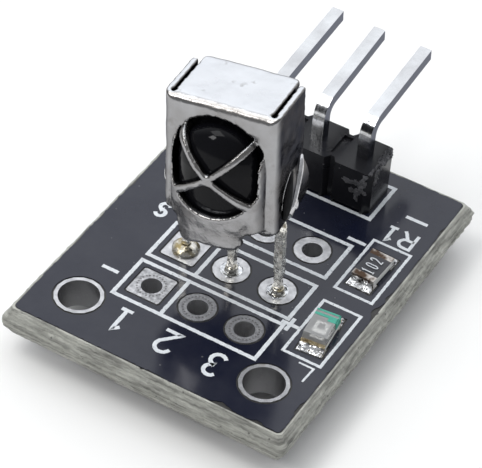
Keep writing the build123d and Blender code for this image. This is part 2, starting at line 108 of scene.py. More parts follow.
class NodeBoard:
    """Adds and joins the nodes of one material, world or node group."""

    def __init__(self, tree: bpy.types.NodeTree) -> None:
        """Keeps the tree that the nodes go into."""
        self.tree = tree

    def put(self, socket: bpy.types.NodeSocket, value: object) -> None:
        """Links an input to another socket, or sets its constant.

        Args:
            socket: the input.
            value: a socket or a constant; a colour may have three numbers.
        """
        if isinstance(value, bpy.types.NodeSocket):
            self.tree.links.new(value, socket)
        elif isinstance(value, tuple) and len(value) == 3 and len(socket.default_value) == 4:
            socket.default_value = (*value, 1.0)
        else:
            socket.default_value = value

    def add(self, kind: str, operation: str | None = None, **sockets: object) -> bpy.types.Node:
        """Adds a node and sets or feeds its inputs.

        Args:
            kind: Blender's node type without its ShaderNode prefix.
            operation: the operation of a math node, where it has one.
            sockets: input names with spaces as underscores; in0, in1 and in2
                mean inputs by number.

        Returns:
            The new node.
        """
        node = self.tree.nodes.new("ShaderNode" + kind)
        if operation is not None:
            node.operation = operation
        for name, value in sockets.items():
            by_number = name.startswith("in") and name[2:].isdigit()
            self.put(node.inputs[int(name[2:]) if by_number else name.replace("_", " ")], value)
        return node

    def coordinates(self, kind: str) -> bpy.types.NodeSocket:
        """One kind of texture coordinates, such as Object or Normal."""
        return self.tree.nodes.new("ShaderNodeTexCoord").outputs[kind]

    def facing(self, way: bpy.types.NodeSocket, towards: Sequence[float]) -> bpy.types.NodeSocket:
        """How far one direction points along a fixed one, from -1 to 1."""
        return self.add("VectorMath", "DOT_PRODUCT", in0=way, in1=tuple(towards)).outputs["Value"]

    def blend(self, factor: object, first: object, second: object) -> bpy.types.NodeSocket:
        """Mixes two colours.

        Args:
            factor: number or socket, 0 for the first colour.
            first: colour or socket.
            second: colour or socket.

        Returns:
            The mixed colour's socket.
        """
        node = self.tree.nodes.new("ShaderNodeMix")
        node.data_type = "RGBA"
        for index, value in ((0, factor), (6, first), (7, second)):
            self.put(node.inputs[index], value)
        return node.outputs[2]

    def between(self, value: bpy.types.NodeSocket, low: object, high: object,
                to_low: float, to_high: float) -> bpy.types.NodeSocket:
        """Maps a range of a value to another range, held at its ends.

        Args:
            value: the socket to map.
            low: start of the range that is read, a number or socket.
            high: end of the range that is read, a number or socket.
            to_low: result at the start.
            to_high: result at the end.

        Returns:
            The mapped value's socket.
        """
        node = self.tree.nodes.new("ShaderNodeMapRange")
        node.clamp = True
        for index, given in enumerate((value, low, high, to_low, to_high)):
            self.put(node.inputs[index], given)
        return node.outputs[0]

    def math(self, operation: str, first: object, second: object = 0.0) -> bpy.types.NodeSocket:
        """Joins two numbers or sockets by a math node and returns its output."""
        return self.add("Math", operation, in0=first, in1=second).outputs[0]

    def times(self, first: object, second: object) -> bpy.types.NodeSocket:
        """Product of two numbers or sockets."""
        return self.math("MULTIPLY", first, second)


class SurfaceGroups:
    """Shader groups that several finishes share, each built when it is first used."""

    @staticmethod
    def _open(name: str, inputs: dict[str, tuple[str, object]],
              output: str) -> tuple[NodeBoard, bpy.types.Node, bpy.types.NodeSocket]:
        """Makes an empty group with its sockets.

        Args:
            name: the group's name.
            inputs: socket name to its short type and default.
            output: name of the one number it puts out.

        Returns:
            The group's board, its input node and the socket its result goes into.
        """
        tree = bpy.data.node_groups.new(name, "ShaderNodeTree")
        for label, (kind, default) in inputs.items():
            socket = tree.interface.new_socket(label, in_out="INPUT", socket_type="NodeSocket" + kind)
            socket.default_value = default
        tree.interface.new_socket(output, in_out="OUTPUT", socket_type="NodeSocketFloat")
        entry = tree.nodes.new("NodeGroupInput")
        leave = tree.nodes.new("NodeGroupOutput")
        return NodeBoard(tree), entry, leave.inputs[output]

    @staticmethod
    def _millimetres(board: NodeBoard) -> bpy.types.NodeSocket:
        """Object coordinates counted in millimetres."""
        return board.add("VectorMath", "SCALE", in0=board.coordinates("Object"), Scale=1000.0).outputs[0]

    def _stretched(self, board: NodeBoard, entry: bpy.types.Node) -> bpy.types.NodeSocket:
        """Millimetres times the group's own stretch."""
        place = self._millimetres(board)
        return board.add("VectorMath", "MULTIPLY", in0=place, in1=entry.outputs["Stretch"]).outputs[0]

    @cached_property
    def mottle(self) -> bpy.types.NodeTree:
        """Cloudy patches: a mask from 0 to 1, with size, softness and share.

        Returns:
            The group.
        """
        board, entry, mask = self._open(
            "cloudy_patches",
            {"Per Millimetre": ("Float", 1.0), "Stretch": ("Vector", (1.0, 1.0, 1.0)),
             "Threshold": ("Float", 0.5), "Softness": ("Float", 0.2)},
            "Mask",
        )
        cloud = board.add("TexNoise", Vector=self._stretched(board, entry),
                          Scale=entry.outputs["Per Millimetre"], Detail=4.0, Roughness=0.6).outputs[0]
        low = board.math("SUBTRACT", entry.outputs["Threshold"], entry.outputs["Softness"])
        high = board.math("ADD", entry.outputs["Threshold"], entry.outputs["Softness"])
        board.put(mask, board.between(cloud, low, high, 0.0, 1.0))
        return board.tree

    @cached_property
    def grain(self) -> bpy.types.NodeTree:
        """Fine relief: a height made of coarse noise and a share of noise five times finer.

        Returns:
            The group.
        """
        board, entry, height = self._open(
            "fine_relief",
            {"Per Millimetre": ("Float", 4.0), "Stretch": ("Vector", (1.0, 1.0, 1.0)),
             "Fine Share": ("Float", 0.3)},
            "Height",
        )
        place = self._stretched(board, entry)
        waves = entry.outputs["Per Millimetre"]
        coarse = board.add("TexNoise", Vector=place, Scale=waves, Detail=2.0).outputs[0]
        fine = board.add("TexNoise", Vector=place, Scale=board.times(waves, 5.0), Detail=3.0).outputs[0]
        board.put(height, board.math("ADD", coarse, board.times(fine, entry.outputs["Fine Share"])))
        return board.tree

    @cached_property
    def specks(self) -> bpy.types.NodeTree:
        """Scattered dust and pits, and painted glints: a mask of small round dots.

        Returns:
            The group.
        """
        board, entry, mask = self._open(
            "scattered_specks",
            {"Per Millimetre": ("Float", 2.0), "Size": ("Float", 0.12), "Share": ("Float", 0.3)},
            "Mask",
        )
        cells = board.add("TexVoronoi", Vector=self._millimetres(board),
                          Scale=entry.outputs["Per Millimetre"])
        near = board.math("LESS_THAN", cells.outputs["Distance"], entry.outputs["Size"])
        lot = board.add("SeparateColor", in0=cells.outputs["Color"]).outputs[0]
        chosen = board.math("LESS_THAN", lot, entry.outputs["Share"])
        board.put(mask, board.times(near, chosen))
        return board.tree


GROUPS = SurfaceGroups()


class MaterialBoard(NodeBoard):
    """A material with one Principled shader and the shared groups at hand."""

    def __init__(self, name: str) -> None:
        """Makes the material and keeps its shader.

        Args:
            name: the material's name.
        """
        self.material = bpy.data.materials.new(name)
        self.material.use_nodes = True
        super().__init__(self.material.node_tree)
        self.shader = next(node for node in self.tree.nodes if node.type == "BSDF_PRINCIPLED")

    def group(self, tree: bpy.types.NodeTree, **inputs: object) -> bpy.types.NodeSocket:
        """Places a shared group.

        Args:
            tree: the group.
            inputs: its input names with spaces as underscores.

        Returns:
            The group's one output.
        """
        node = self.tree.nodes.new("ShaderNodeGroup")
        node.node_tree = tree
        for name, value in inputs.items():
            self.put(node.inputs[name.replace("_", " ")], value)
        return node.outputs[0]

    def feed(self, name: str, value: object) -> None:
        """Sets or links one input of the shader."""
        self.put(self.shader.inputs[name], value)

    def relief(self, height: bpy.types.NodeSocket, depth: float,
               under: bpy.types.NodeSocket | None = None) -> bpy.types.NodeSocket:
        """Makes a bump of a real depth.

        Args:
            height: socket from 0 to 1.
            depth: millimetres from 0 to 1.
            under: normal that this relief lies on.

        Returns:
            The bumped normal.
        """
        bump = self.add("Bump", Height=height, Distance=mm(depth))
        bump.inputs["Strength"].default_value = 1.0
        if under is not None:
            self.put(bump.inputs["Normal"], under)
        return bump.outputs["Normal"]


# Finishes


class Shaded(Enum):
    """Which faces of a metal part take a painted colour of light and shade."""

    NONE = "no faces"
    SIDES = "faces towards either side"
    WALLS = "upright faces"

    def mask(self, board: MaterialBoard) -> bpy.types.NodeSocket:
        """Picks the faces with painted light and shade out.

        Args:
            board: the material's board.

        Returns:
            A mask of 1 on the faces with painted light and shade.
        """
        parts = board.add("SeparateXYZ", Vector=board.coordinates("Normal"))
        if self is Shaded.SIDES:
            return board.between(board.math("ABSOLUTE", parts.outputs["X"]), 0.5, 0.9, 0.0, 1.0)
        return board.between(board.math("ABSOLUTE", parts.outputs["Z"]), 0.2, 0.6, 1.0, 0.0)


@dataclass(frozen=True)
class PlatedMetal:
    """Tinned, gilt or soldered metal with patches, stains and relief, and painted light and shade on chosen
    faces.
    """

    name: str
    bright: Colour
    dull: Colour
    smooth: float
    rough: float
    patches_per_mm: float = 1.5
    patch_softness: float = 0.22
    relief_per_mm: float = 6.0
    relief_depth: float = 0.004
    relief_stretch: Triple = (1.0, 1.0, 1.0)
    fine_share: float = 0.3
    stain: Colour = (0.3, 0.24, 0.18)
    stain_threshold: float = 0.75
    stain_softness: float = 0.08
    stain_per_mm: float = 0.8
    stain_roughness: float = 0.25
    # painted light and shade: the colour on the chosen faces, and painted glints dotted over upright walls
    shaded: Shaded = Shaded.NONE
    shade: Colour = (0.1, 0.1, 0.1)
    glints_per_mm: float = 5.0
    glint_size: float = 0.3
    glint_share: float = 0.3
    glance: float = 1.0

    def make(self) -> bpy.types.Material:
        """Builds the material.

        Returns:
            The finished material.
        """
        board = MaterialBoard(self.name)
        patch = board.group(GROUPS.mottle, Per_Millimetre=self.patches_per_mm, Threshold=0.5,
                            Softness=self.patch_softness)
        stain = board.group(GROUPS.mottle, Per_Millimetre=self.stain_per_mm,
                            Threshold=self.stain_threshold, Softness=self.stain_softness)
        metal = board.blend(stain, board.blend(patch, self.bright, self.dull), self.stain)
        # painted light and shade on the chosen faces; on upright walls it is dotted with painted glints of
        # the dull colour
        if self.shaded is Shaded.SIDES:
            metal = board.blend(self.shaded.mask(board), metal, self.shade)
        if self.shaded is Shaded.WALLS:
            painted_glints = board.group(GROUPS.specks, Per_Millimetre=self.glints_per_mm, Size=self.glint_size,
                                 Share=self.glint_share)
            metal = board.blend(self.shaded.mask(board), metal, board.blend(painted_glints, self.shade, self.dull))
        board.feed("Base Color", metal)
        board.feed("Metallic", 1.0)
        board.feed("Specular Tint", (self.glance, self.glance, self.glance))
        worn = board.between(patch, 0.0, 1.0, self.smooth, self.rough)
        board.feed("Roughness", board.math("ADD", worn, board.times(stain, self.stain_roughness)))
        height = board.group(GROUPS.grain, Per_Millimetre=self.relief_per_mm,
                             Stretch=self.relief_stretch, Fine_Share=self.fine_share)
        board.feed("Normal", board.relief(height, self.relief_depth))
        return board.material


@dataclass(frozen=True)
class CanSheet:
    """Folded tinplate with painted light and shade: a bright lit top panel, a greyer front and dark shaded
    sides.

    The panels are told apart by how far a face points to the receiver's own
    side or upward, so each pair of numbers below is where a panel's colour
    starts and where it is full.
    """

    name: str
    # painted light and shade: top, front and side are the colours of the lit top panel, the front and the
    # shaded sides
    top: Colour
    front: Colour
    side: Colour
    stain: Colour
    fold: Colour = (0.2, 0.19, 0.18)
    side_from: Point = (0.72, 0.98)
    top_from: Point = (0.7, 0.95)
    fold_from: Point = (0.25, 0.5)
    fold_until: Point = (0.85, 0.97)
    fold_share: float = 0.75
    patches_per_mm: float = 0.9
    patch_share: float = 0.5
    top_cleaner: float = 0.8
    spots_per_mm: float = 1.3
    spot_share: float = 0.5
    glance: Colour = (0.35, 0.35, 0.36)
    smooth: float = 0.14
    rough: float = 0.32
    relief_per_mm: float = 1.7
    relief_depth: float = 0.022

    def make(self) -> bpy.types.Material:
        """Builds the material.

        Returns:
            The finished material.
        """
        board = MaterialBoard(self.name)
        side_axis, _, upright_axis = receiver_turn().col
        normal = board.coordinates("Normal")
        sideways = board.math("ABSOLUTE", board.facing(normal, side_axis))
        upwards = board.facing(normal, upright_axis)
        # painted light and shade: each face takes its panel's colour by the way it points
        on_side = board.between(sideways, *self.side_from, 0.0, 1.0)
        on_top = board.between(upwards, *self.top_from, 0.0, 1.0)
        # the bend between front and top takes a darker brownish colour, picked by the way its faces point
        past_front = board.between(upwards, *self.fold_from, 0.0, self.fold_share)
        before_top = board.between(upwards, *self.fold_until, 1.0, 0.0)
        panels = board.blend(on_top, board.blend(on_side, self.front, self.side), self.top)
        panels = board.blend(board.times(past_front, before_top), panels, self.fold)
        patch = board.group(GROUPS.mottle, Per_Millimetre=self.patches_per_mm, Threshold=0.5, Softness=0.25)
        clean = board.math("SUBTRACT", 1.0, board.times(on_top, self.top_cleaner))
        dulled = board.blend(board.times(patch, board.times(clean, self.patch_share)), panels, self.stain)
        spots = board.group(GROUPS.mottle, Per_Millimetre=self.spots_per_mm, Threshold=0.7, Softness=0.06)
        board.feed("Base Color", board.blend(board.times(spots, self.spot_share), dulled, self.stain))
        board.feed("Metallic", 1.0)
        board.feed("Specular Tint", self.glance)
        board.feed("Roughness", board.between(patch, 0.0, 1.0, self.smooth, self.rough))
        height = board.group(GROUPS.grain, Per_Millimetre=self.relief_per_mm, Fine_Share=0.3)
        board.feed("Normal", board.relief(height, self.relief_depth))
        return board.material


@dataclass(frozen=True)
class GlossPlastic:
    """Moulded or lacquered black surface with a faint ripple and dust."""

    name: str
    colour: Colour
    dusty: Colour
    roughness: float = 0.08
    haze_per_mm: float = 0.5
    haze_share: float = 0.25
    haze_roughness: float = 0.06
    ripple_per_mm: float = 0.8
    ripple_depth: float = 0.002
    specks_per_mm: float = 2.2
    speck_share: float = 0.12
    speck_size: float = 0.1
    speck_roughness: float = 0.4
    refraction: float = 1.5

    def make(self) -> bpy.types.Material:
        """Builds the material.

        Returns:
            The finished material.
        """
        board = MaterialBoard(self.name)
        haze = board.group(GROUPS.mottle, Per_Millimetre=self.haze_per_mm, Threshold=0.55, Softness=0.3)
        dust = board.group(GROUPS.specks, Per_Millimetre=self.specks_per_mm, Size=self.speck_size,
                           Share=self.speck_share)
        cast = board.blend(board.times(haze, self.haze_share), self.colour, self.dusty)
        board.feed("Base Color", board.blend(dust, cast, self.dusty))
        low = board.between(haze, 0.0, 1.0, self.roughness, self.roughness + self.haze_roughness)
        board.feed("Roughness", board.math("ADD", low, board.times(dust, self.speck_roughness)))
        board.feed("IOR", self.refraction)
        height = board.group(GROUPS.grain, Per_Millimetre=self.ripple_per_mm, Fine_Share=0.08)
        board.feed("Normal", board.relief(height, self.ripple_depth))
        return board.material


@dataclass(frozen=True)
class StampedPad:
    """Tin round the front holes, a ring of small dots pressed round each, and painted light in the bores."""

    name: str
    first_pad: Colour = (0.62, 0.62, 0.63)
    other_pads: Colour = (0.34, 0.34, 0.35)
    dull: Colour = (0.22, 0.22, 0.23)
    # painted light: colour of the bore walls
    bore: Colour = (0.62, 0.62, 0.63)
    mark: Colour = (0.08, 0.075, 0.07)
    mark_share: float = 0.8
    first_pad_edge: Point = (-1.6, -1.4)
    row: float = 2.43
    ring: float = 0.69
    ring_width: float = 0.07
    dots: float = 26.0
    dot_depth: float = 0.03
    grain_per_mm: float = 9.0
    grain_depth: float = 0.02

    def _marks(self, board: MaterialBoard, across_board: bpy.types.NodeSocket,
               along_board: bpy.types.NodeSocket) -> bpy.types.NodeSocket:
        """Draws the dots.

        Args:
            board: the material's board.
            across_board: X in metres.
            along_board: Y in metres.

        Returns:
            A mask of 1 in the dots.
        """
        half_pitch = mm(PITCH) / 2
        across = board.add("Math", "WRAP", in0=across_board, in1=half_pitch, in2=-half_pitch).outputs[0]
        along = board.math("SUBTRACT", along_board, mm(self.row))
        squared = board.math("ADD", board.times(across, across), board.times(along, along))
        off_ring = board.math("ABSOLUTE", board.math("SUBTRACT", board.math("SQRT", squared), mm(self.ring)))
        on_ring = board.between(off_ring, 0.0, mm(self.ring_width), 1.0, 0.0)
        angle = board.times(board.math("ARCTAN2", along, across), self.dots)
        return board.times(on_ring, board.between(board.math("SINE", angle), -0.2, 0.6, 0.0, 1.0))

    def make(self) -> bpy.types.Material:
        """Builds the material.

        Returns:
            The finished material.
        """
        board = MaterialBoard(self.name)
        parts = board.add("SeparateXYZ", Vector=board.coordinates("Object"))
        mark = self._marks(board, parts.outputs["X"], parts.outputs["Y"])
        patch = board.group(GROUPS.mottle, Per_Millimetre=5.0, Threshold=0.5, Softness=0.2)
        left, right = self.first_pad_edge
        first = board.between(parts.outputs["X"], mm(left), mm(right), 1.0, 0.0)
        tin = board.blend(patch, board.blend(first, self.other_pads, self.first_pad), self.dull)
        # painted light: the bore walls take a lighter grey than the pads round them
        tin = board.blend(Shaded.WALLS.mask(board), tin, self.bore)
        board.feed("Base Color", board.blend(board.times(mark, self.mark_share), tin, self.mark))
        board.feed("Metallic", 1.0)
        board.feed("Roughness", board.between(patch, 0.0, 1.0, 0.35, 0.55))
        height = board.group(GROUPS.grain, Per_Millimetre=self.grain_per_mm, Fine_Share=0.6)
        fine = board.relief(height, self.grain_depth)
        board.feed("Normal", board.relief(board.math("SUBTRACT", 1.0, mark), self.dot_depth, fine))
        return board.material


@dataclass(frozen=True)
class MattMineral:
    """Ceramic, laminate, ink or torn plastic: mottled, dry and grainy."""

    name: str
    light: Colour
    dark: Colour
    roughness: float = 0.6
    roughness_swing: float = 0.08
    patches_per_mm: float = 3.0
    stretch: Triple = (1.0, 1.0, 1.0)
    grain_per_mm: float = 10.0
    grain_depth: float = 0.01
    pit: Colour = (0.1, 0.1, 0.09)
    pit_share: float = 0.1
    pit_size: float = 0.25
    pit_per_mm: float = 3.0
    pit_darkness: float = 0.6

    def make(self) -> bpy.types.Material:
        """Builds the material.

        Returns:
            The finished material.
        """
        board = MaterialBoard(self.name)
        patch = board.group(GROUPS.mottle, Per_Millimetre=self.patches_per_mm, Stretch=self.stretch,
                            Threshold=0.5, Softness=0.2)
        pits = board.group(GROUPS.specks, Per_Millimetre=self.pit_per_mm, Size=self.pit_size,
                           Share=self.pit_share)
        body = board.blend(patch, self.light, self.dark)
        board.feed("Base Color", board.blend(board.times(pits, self.pit_darkness), body, self.pit))
        board.feed("Roughness", board.between(patch, 0.0, 1.0, self.roughness - self.roughness_swing,
                                              self.roughness + self.roughness_swing))
        height = board.group(GROUPS.grain, Per_Millimetre=self.grain_per_mm, Stretch=self.stretch,
                             Fine_Share=0.5)
        board.feed("Normal", board.relief(height, self.grain_depth))
        return board.material


@dataclass(frozen=True)
class ClearResin:
    """Cloudy clear resin of the lamp's lens."""

    name: str
    tint: Colour
    cloudy: Colour = (0.88, 0.9, 0.88)
    cloud_share: float = 0.5
    roughness: float = 0.05
    cloud_roughness: float = 0.15
    clearness: float = 0.72
    refraction: float = 1.5

    def make(self) -> bpy.types.Material:
        """Builds the material.

        Returns:
            The finished material.
        """
        board = MaterialBoard(self.name)
        cloud = board.group(GROUPS.mottle, Per_Millimetre=3.0, Threshold=0.55, Softness=0.25)
        board.feed("Base Color", board.blend(board.times(cloud, self.cloud_share), self.tint, self.cloudy))
        board.feed("Roughness", board.between(cloud, 0.0, 1.0, self.roughness,
                                              self.roughness + self.cloud_roughness))
        board.feed("Transmission Weight", self.clearness)
        board.feed("IOR", self.refraction)
        height = board.group(GROUPS.grain, Per_Millimetre=6.0, Fine_Share=0.3)
        board.feed("Normal", board.relief(height, 0.002))
        return board.material


# painted shade: the pads' hole walls take a darker grey than the tin on top, dotted with painted glints
TINNED_PAD = PlatedMetal(
    "tinned_pad", (0.6, 0.6, 0.61), (0.36, 0.36, 0.37), 0.3, 0.5, patches_per_mm=2.4, relief_per_mm=5.0,
    relief_depth=0.02, stain_threshold=0.74, shaded=Shaded.WALLS, shade=(0.34, 0.34, 0.35), glance=0.7,
)

BOARD_FINISHES = (
    GlossPlastic("black_lacquer", (0.007, 0.009, 0.022), (0.07, 0.07, 0.08), roughness=0.1,
                 ripple_per_mm=0.35, ripple_depth=0.004, refraction=1.46),
    MattMineral("snapped_laminate", (0.6, 0.6, 0.54), (0.14, 0.14, 0.125), roughness=0.55,
                patches_per_mm=1.9, stretch=(0.35, 0.35, 3.6), grain_per_mm=6.0, grain_depth=0.09,
                pit=(0.05, 0.05, 0.045), pit_share=0.05, pit_per_mm=5.0),
    MattMineral("drilled_laminate", (0.03, 0.028, 0.025), (0.015, 0.014, 0.012), roughness=0.5),
    TINNED_PAD,
    # painted light: the rear row's hole walls take a pale grey, lighter than the tin on top
    replace(TINNED_PAD, name="bright_bore_pad", shade=(0.75, 0.75, 0.76), glance=1.0),
    StampedPad("stamped_pad"),
    MattMineral("white_print", (0.78, 0.8, 0.82), (0.62, 0.65, 0.68), roughness=0.5, patches_per_mm=4.0,
                grain_depth=0.006, pit=(0.25, 0.26, 0.28), pit_share=0.2, pit_per_mm=6.0),
)

HEADER_FINISHES = (
    # painted shade: the pins' faces towards either side take a darker bluish grey
    PlatedMetal("bright_pin_tin", (0.64, 0.65, 0.66), (0.48, 0.48, 0.49), 0.12, 0.26, patches_per_mm=0.7,
                relief_per_mm=1.1, relief_depth=0.02, relief_stretch=(2.0, 0.5, 1.0), fine_share=0.06,
                stain_threshold=0.8, shaded=Shaded.SIDES, shade=(0.19, 0.2, 0.24), glance=0.5),
    GlossPlastic("header_nylon", (0.008, 0.008, 0.010), (0.05, 0.05, 0.055), roughness=0.2,
                 ripple_per_mm=1.2, ripple_depth=0.006, speck_share=0.2, refraction=1.33),
    MattMineral("torn_nylon", (0.14, 0.14, 0.15), (0.03, 0.03, 0.035), roughness=0.75,
                patches_per_mm=5.0, grain_per_mm=9.0, grain_depth=0.06),
    PlatedMetal("bright_solder", (0.75, 0.75, 0.76), (0.4, 0.4, 0.4), 0.08, 0.2, patches_per_mm=2.0,
                relief_per_mm=3.0, relief_depth=0.015, fine_share=0.15, stain=(0.16, 0.12, 0.06),
                stain_threshold=0.66, stain_per_mm=1.8),
)

RECEIVER_FINISHES = (
    # painted light and shade on the can: lit top, greyer front and dark shaded sides
    CanSheet("can_tinplate", (0.66, 0.67, 0.69), (0.38, 0.38, 0.39), (0.07, 0.074, 0.085),
             (0.17, 0.155, 0.14)),
    PlatedMetal("rolled_edge_tin", (0.8, 0.79, 0.8), (0.35, 0.35, 0.36), 0.08, 0.22, patches_per_mm=2.2,
                relief_per_mm=4.0, relief_depth=0.02, stain=(0.3, 0.2, 0.14), stain_threshold=0.68,
                stain_per_mm=1.4),
    # painted shadow: near-black finish of the solids in the springs' slits
    MattMineral("gap_shadow", (0.006, 0.006, 0.007), (0.003, 0.003, 0.004), roughness=0.9,
                pit=(0.01, 0.01, 0.01)),
    GlossPlastic("polished_epoxy", (0.003, 0.003, 0.004), (0.012, 0.012, 0.015), roughness=0.06,
                 ripple_depth=0.001, speck_share=0.06, speck_size=0.05, refraction=1.21),
    PlatedMetal("crinkled_lead_tin", (0.95, 0.94, 0.89), (0.7, 0.67, 0.6), 0.14, 0.28, patches_per_mm=2.0,
                relief_per_mm=2.0, relief_depth=0.02, fine_share=0.05, stain=(0.2, 0.15, 0.08),
                stain_threshold=0.68, stain_per_mm=1.6),
    PlatedMetal("dished_solder", (0.86, 0.87, 0.88), (0.3, 0.31, 0.33), 0.1, 0.25, patches_per_mm=3.5,
                relief_per_mm=3.5, relief_depth=0.03, stain_threshold=0.85),
    PlatedMetal("fluxed_solder", (0.7, 0.69, 0.65), (0.4, 0.38, 0.34), 0.08, 0.2, patches_per_mm=2.0,
                relief_per_mm=3.0, relief_depth=0.015, fine_share=0.15, stain=(0.3, 0.24, 0.12),
                stain_threshold=0.56, stain_per_mm=1.2),
    MattMineral("bare_silicon", (0.1, 0.1, 0.13), (0.06, 0.06, 0.08), roughness=0.25),
)

CHIP_FINISHES = (
    MattMineral("white_alumina", (0.82, 0.82, 0.8), (0.7, 0.7, 0.67), roughness=0.45, pit_share=0.05),
    GlossPlastic("resistor_glaze", (0.03, 0.03, 0.036), (0.09, 0.09, 0.1), roughness=0.3,
                 ripple_per_mm=3.0, ripple_depth=0.006, refraction=1.42),
    PlatedMetal("chip_cap_tin", (0.62, 0.6, 0.57), (0.36, 0.33, 0.3), 0.2, 0.4, relief_depth=0.02,
                stain=(0.1, 0.065, 0.045), stain_threshold=0.53, stain_per_mm=1.7),
    PlatedMetal("patchy_solder", (0.95, 0.95, 0.96), (0.7, 0.7, 0.7), 0.1, 0.22, patches_per_mm=2.0,
                relief_per_mm=3.0, relief_depth=0.012, fine_share=0.15, stain=(0.018, 0.014, 0.01),
                stain_threshold=0.54, stain_per_mm=1.5),
    MattMineral("lamp_substrate", (0.93, 0.92, 0.89), (0.8, 0.79, 0.74), roughness=0.5, pit_share=0.05),
    ClearResin("lamp_resin", (0.98, 0.98, 0.97)),
    MattMineral("lamp_die", (0.2, 0.13, 0.1), (0.1, 0.07, 0.05), roughness=0.4),
    PlatedMetal("cap_gilding", (0.72, 0.62, 0.42), (0.45, 0.36, 0.22), 0.25, 0.4, relief_depth=0.012,
                stain=(0.2, 0.13, 0.06), stain_threshold=0.62, stain_per_mm=2.0),
    MattMineral("green_band", (0.05, 0.42, 0.3), (0.04, 0.33, 0.24), roughness=0.35, grain_depth=0.003),
)


class Finishes:
    """Every finish on the module, made once and handed out by name."""

    def __init__(self) -> None:
        """Makes all the materials."""
        finishes = (*BOARD_FINISHES, *HEADER_FINISHES, *RECEIVER_FINISHES, *CHIP_FINISHES)
        self.materials = {finish.name: finish.make() for finish in finishes}

    def on(self, piece: bpy.types.Object, name: str) -> None:
        """Puts one finish on the whole of a piece."""
        piece.data.materials.clear()
        piece.data.materials.append(self.materials[name])

    @staticmethod
    def soften(piece: bpy.types.Object, width: float) -> None:
        """Rounds a piece's sharp edges so that they catch the light.

        Args:
            piece: the piece.
            width: of the rounding, in millimetres.
        """
        bevel = piece.modifiers.new("soft_edges", "BEVEL")
        bevel.width = mm(width)
        bevel.segments = 2
        bevel.limit_method = "ANGLE"
        bevel.angle_limit = math.radians(38)


# Mesh building


def new_piece(name: str, mesh: bpy.types.Mesh) -> bpy.types.Object:
    """Links a mesh as a piece that rides on the module.

    Args:
        name: the piece's name.
        mesh: its mesh, in metres and in the module's frame.

    Returns:
        The new object.
    """
    piece = bpy.data.objects.new(name, mesh)
    bpy.context.scene.collection.objects.link(piece)
    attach(piece, BODY)
    return piece


def mesh_from(name: str, work: bmesh.types.BMesh, smooth: bool = False) -> bpy.types.Mesh:
    """Turns a bmesh into a mesh with outward normals and frees it.

    Args:
        name: the mesh's name.
        work: the bmesh.
        smooth: whether its faces are shaded smooth.

    Returns:
        The mesh.
    """
    bmesh.ops.recalc_face_normals(work, faces=work.faces)
    for face in work.faces:
        face.smooth = smooth
    mesh = bpy.data.meshes.new(name)
    work.to_mesh(mesh)
    work.free()
    return mesh


def add_block(work: bmesh.types.BMesh, low: Triple, high: Triple, unit: float = 0.001) -> None:
    """Adds a box by its two corners.

    Args:
        work: the mesh it goes into.
        low: its lower corner.
        high: its upper corner.
        unit: how long a 1 in the corners is in the mesh.
    """
    made = bmesh.ops.create_cube(work, size=1.0)["verts"]
    bmesh.ops.scale(work, vec=[(b - a) * unit for a, b in zip(low, high)], verts=made)
    bmesh.ops.translate(work, vec=[(a + b) / 2 * unit for a, b in zip(low, high)], verts=made)


def plate_with_holes(name: str, outline: Sequence[Point], holes: Iterable[Sequence[Point]],
                     low: float, thickness: float) -> bpy.types.Mesh:
    """Fills an outline with holes and gives it a thickness.

    Args:
        name: the mesh's name.
        outline: the outer points.
        holes: the points of each hole.
        low: height of the lower face.
        thickness: height of the plate.

    Returns:
        The plate's mesh, in metres.
    """
    curve = bpy.data.curves.new(name, "CURVE")
    curve.dimensions = "2D"
    curve.fill_mode = "BOTH"
    curve.extrude = mm(thickness) / 2
    for loop in (outline, *holes):
        spline = curve.splines.new("POLY")
        spline.points.add(len(loop) - 1)
        for point, (x, y) in zip(spline.points, loop):
            point.co = (mm(x), mm(y), 0.0, 1.0)
        spline.use_cyclic_u = True
    holder = bpy.data.objects.new(name, curve)
    bpy.context.scene.collection.objects.link(holder)
    bpy.context.view_layer.update()
    ready = holder.evaluated_get(bpy.context.evaluated_depsgraph_get())
    mesh = bpy.data.meshes.new_from_object(ready)
    mesh.transform(Matrix.Translation(mm(0.0, 0.0, low + thickness / 2)))
    bpy.data.objects.remove(holder)
    bpy.data.curves.remove(curve)
    return mesh


def circle_points(x: float, y: float, radius: float, count: int = 48) -> list[Point]:
    """Points of a circle.

    Args:
        x: of its middle.
        y: of its middle.
        radius: of the circle.
        count: of the points.

    Returns:
        The points, anticlockwise.
    """
    turns = [2 * math.pi * step / count for step in range(count)]
    return [(x + radius * math.cos(turn), y + radius * math.sin(turn)) for turn in turns]


def arc(x: float, y: float, radius: float, start: float, end: float, steps: int = 10) -> list[Point]:
    """Points along an arc.

    Args:
        x: of its middle.
        y: of its middle.
        radius: of the arc.
        start: its first angle, in degrees.
        end: its last angle, in degrees.
        steps: lengths that it is cut into.

    Returns:
        The points from start to end.
    """
    turns = [math.radians(start + (end - start) * step / steps) for step in range(steps + 1)]
    return [(x + radius * math.cos(turn), y + radius * math.sin(turn)) for turn in turns]


def rounded_square(x: float, y: float, side: float, corner: float) -> list[Point]:
    """Points of a square with round corners.

    Args:
        x: of its middle.
        y: of its middle.
        side: of the square.
        corner: radius of its corners.

    Returns:
        The points, anticlockwise.
    """
    half = side / 2 - corner
    points = []
    for quarter, (sx, sy) in enumerate(((1, 1), (-1, 1), (-1, -1), (1, -1))):
        points += arc(x + sx * half, y + sy * half, corner, quarter * 90, quarter * 90 + 90, 4)
    return points


def turned_rectangle(x: float, y: float, width: float, length: float, turn: float) -> list[Point]:
    """Corners of a rectangle that is turned about its middle.

    Args:
        x: of its middle.
        y: of its middle.
        width: along X before the turn.
        length: along Y before the turn.
        turn: in degrees.

    Returns:
        The corners, anticlockwise.
    """
    angle = math.radians(turn)
    cosine, sine = math.cos(angle), math.sin(angle)
    points = []
    for side, end in ((-1, -1), (1, -1), (1, 1), (-1, 1)):
        across, along = side * width / 2, end * length / 2
        points.append((x + across * cosine - along * sine, y + across * sine + along * cosine))
    return points


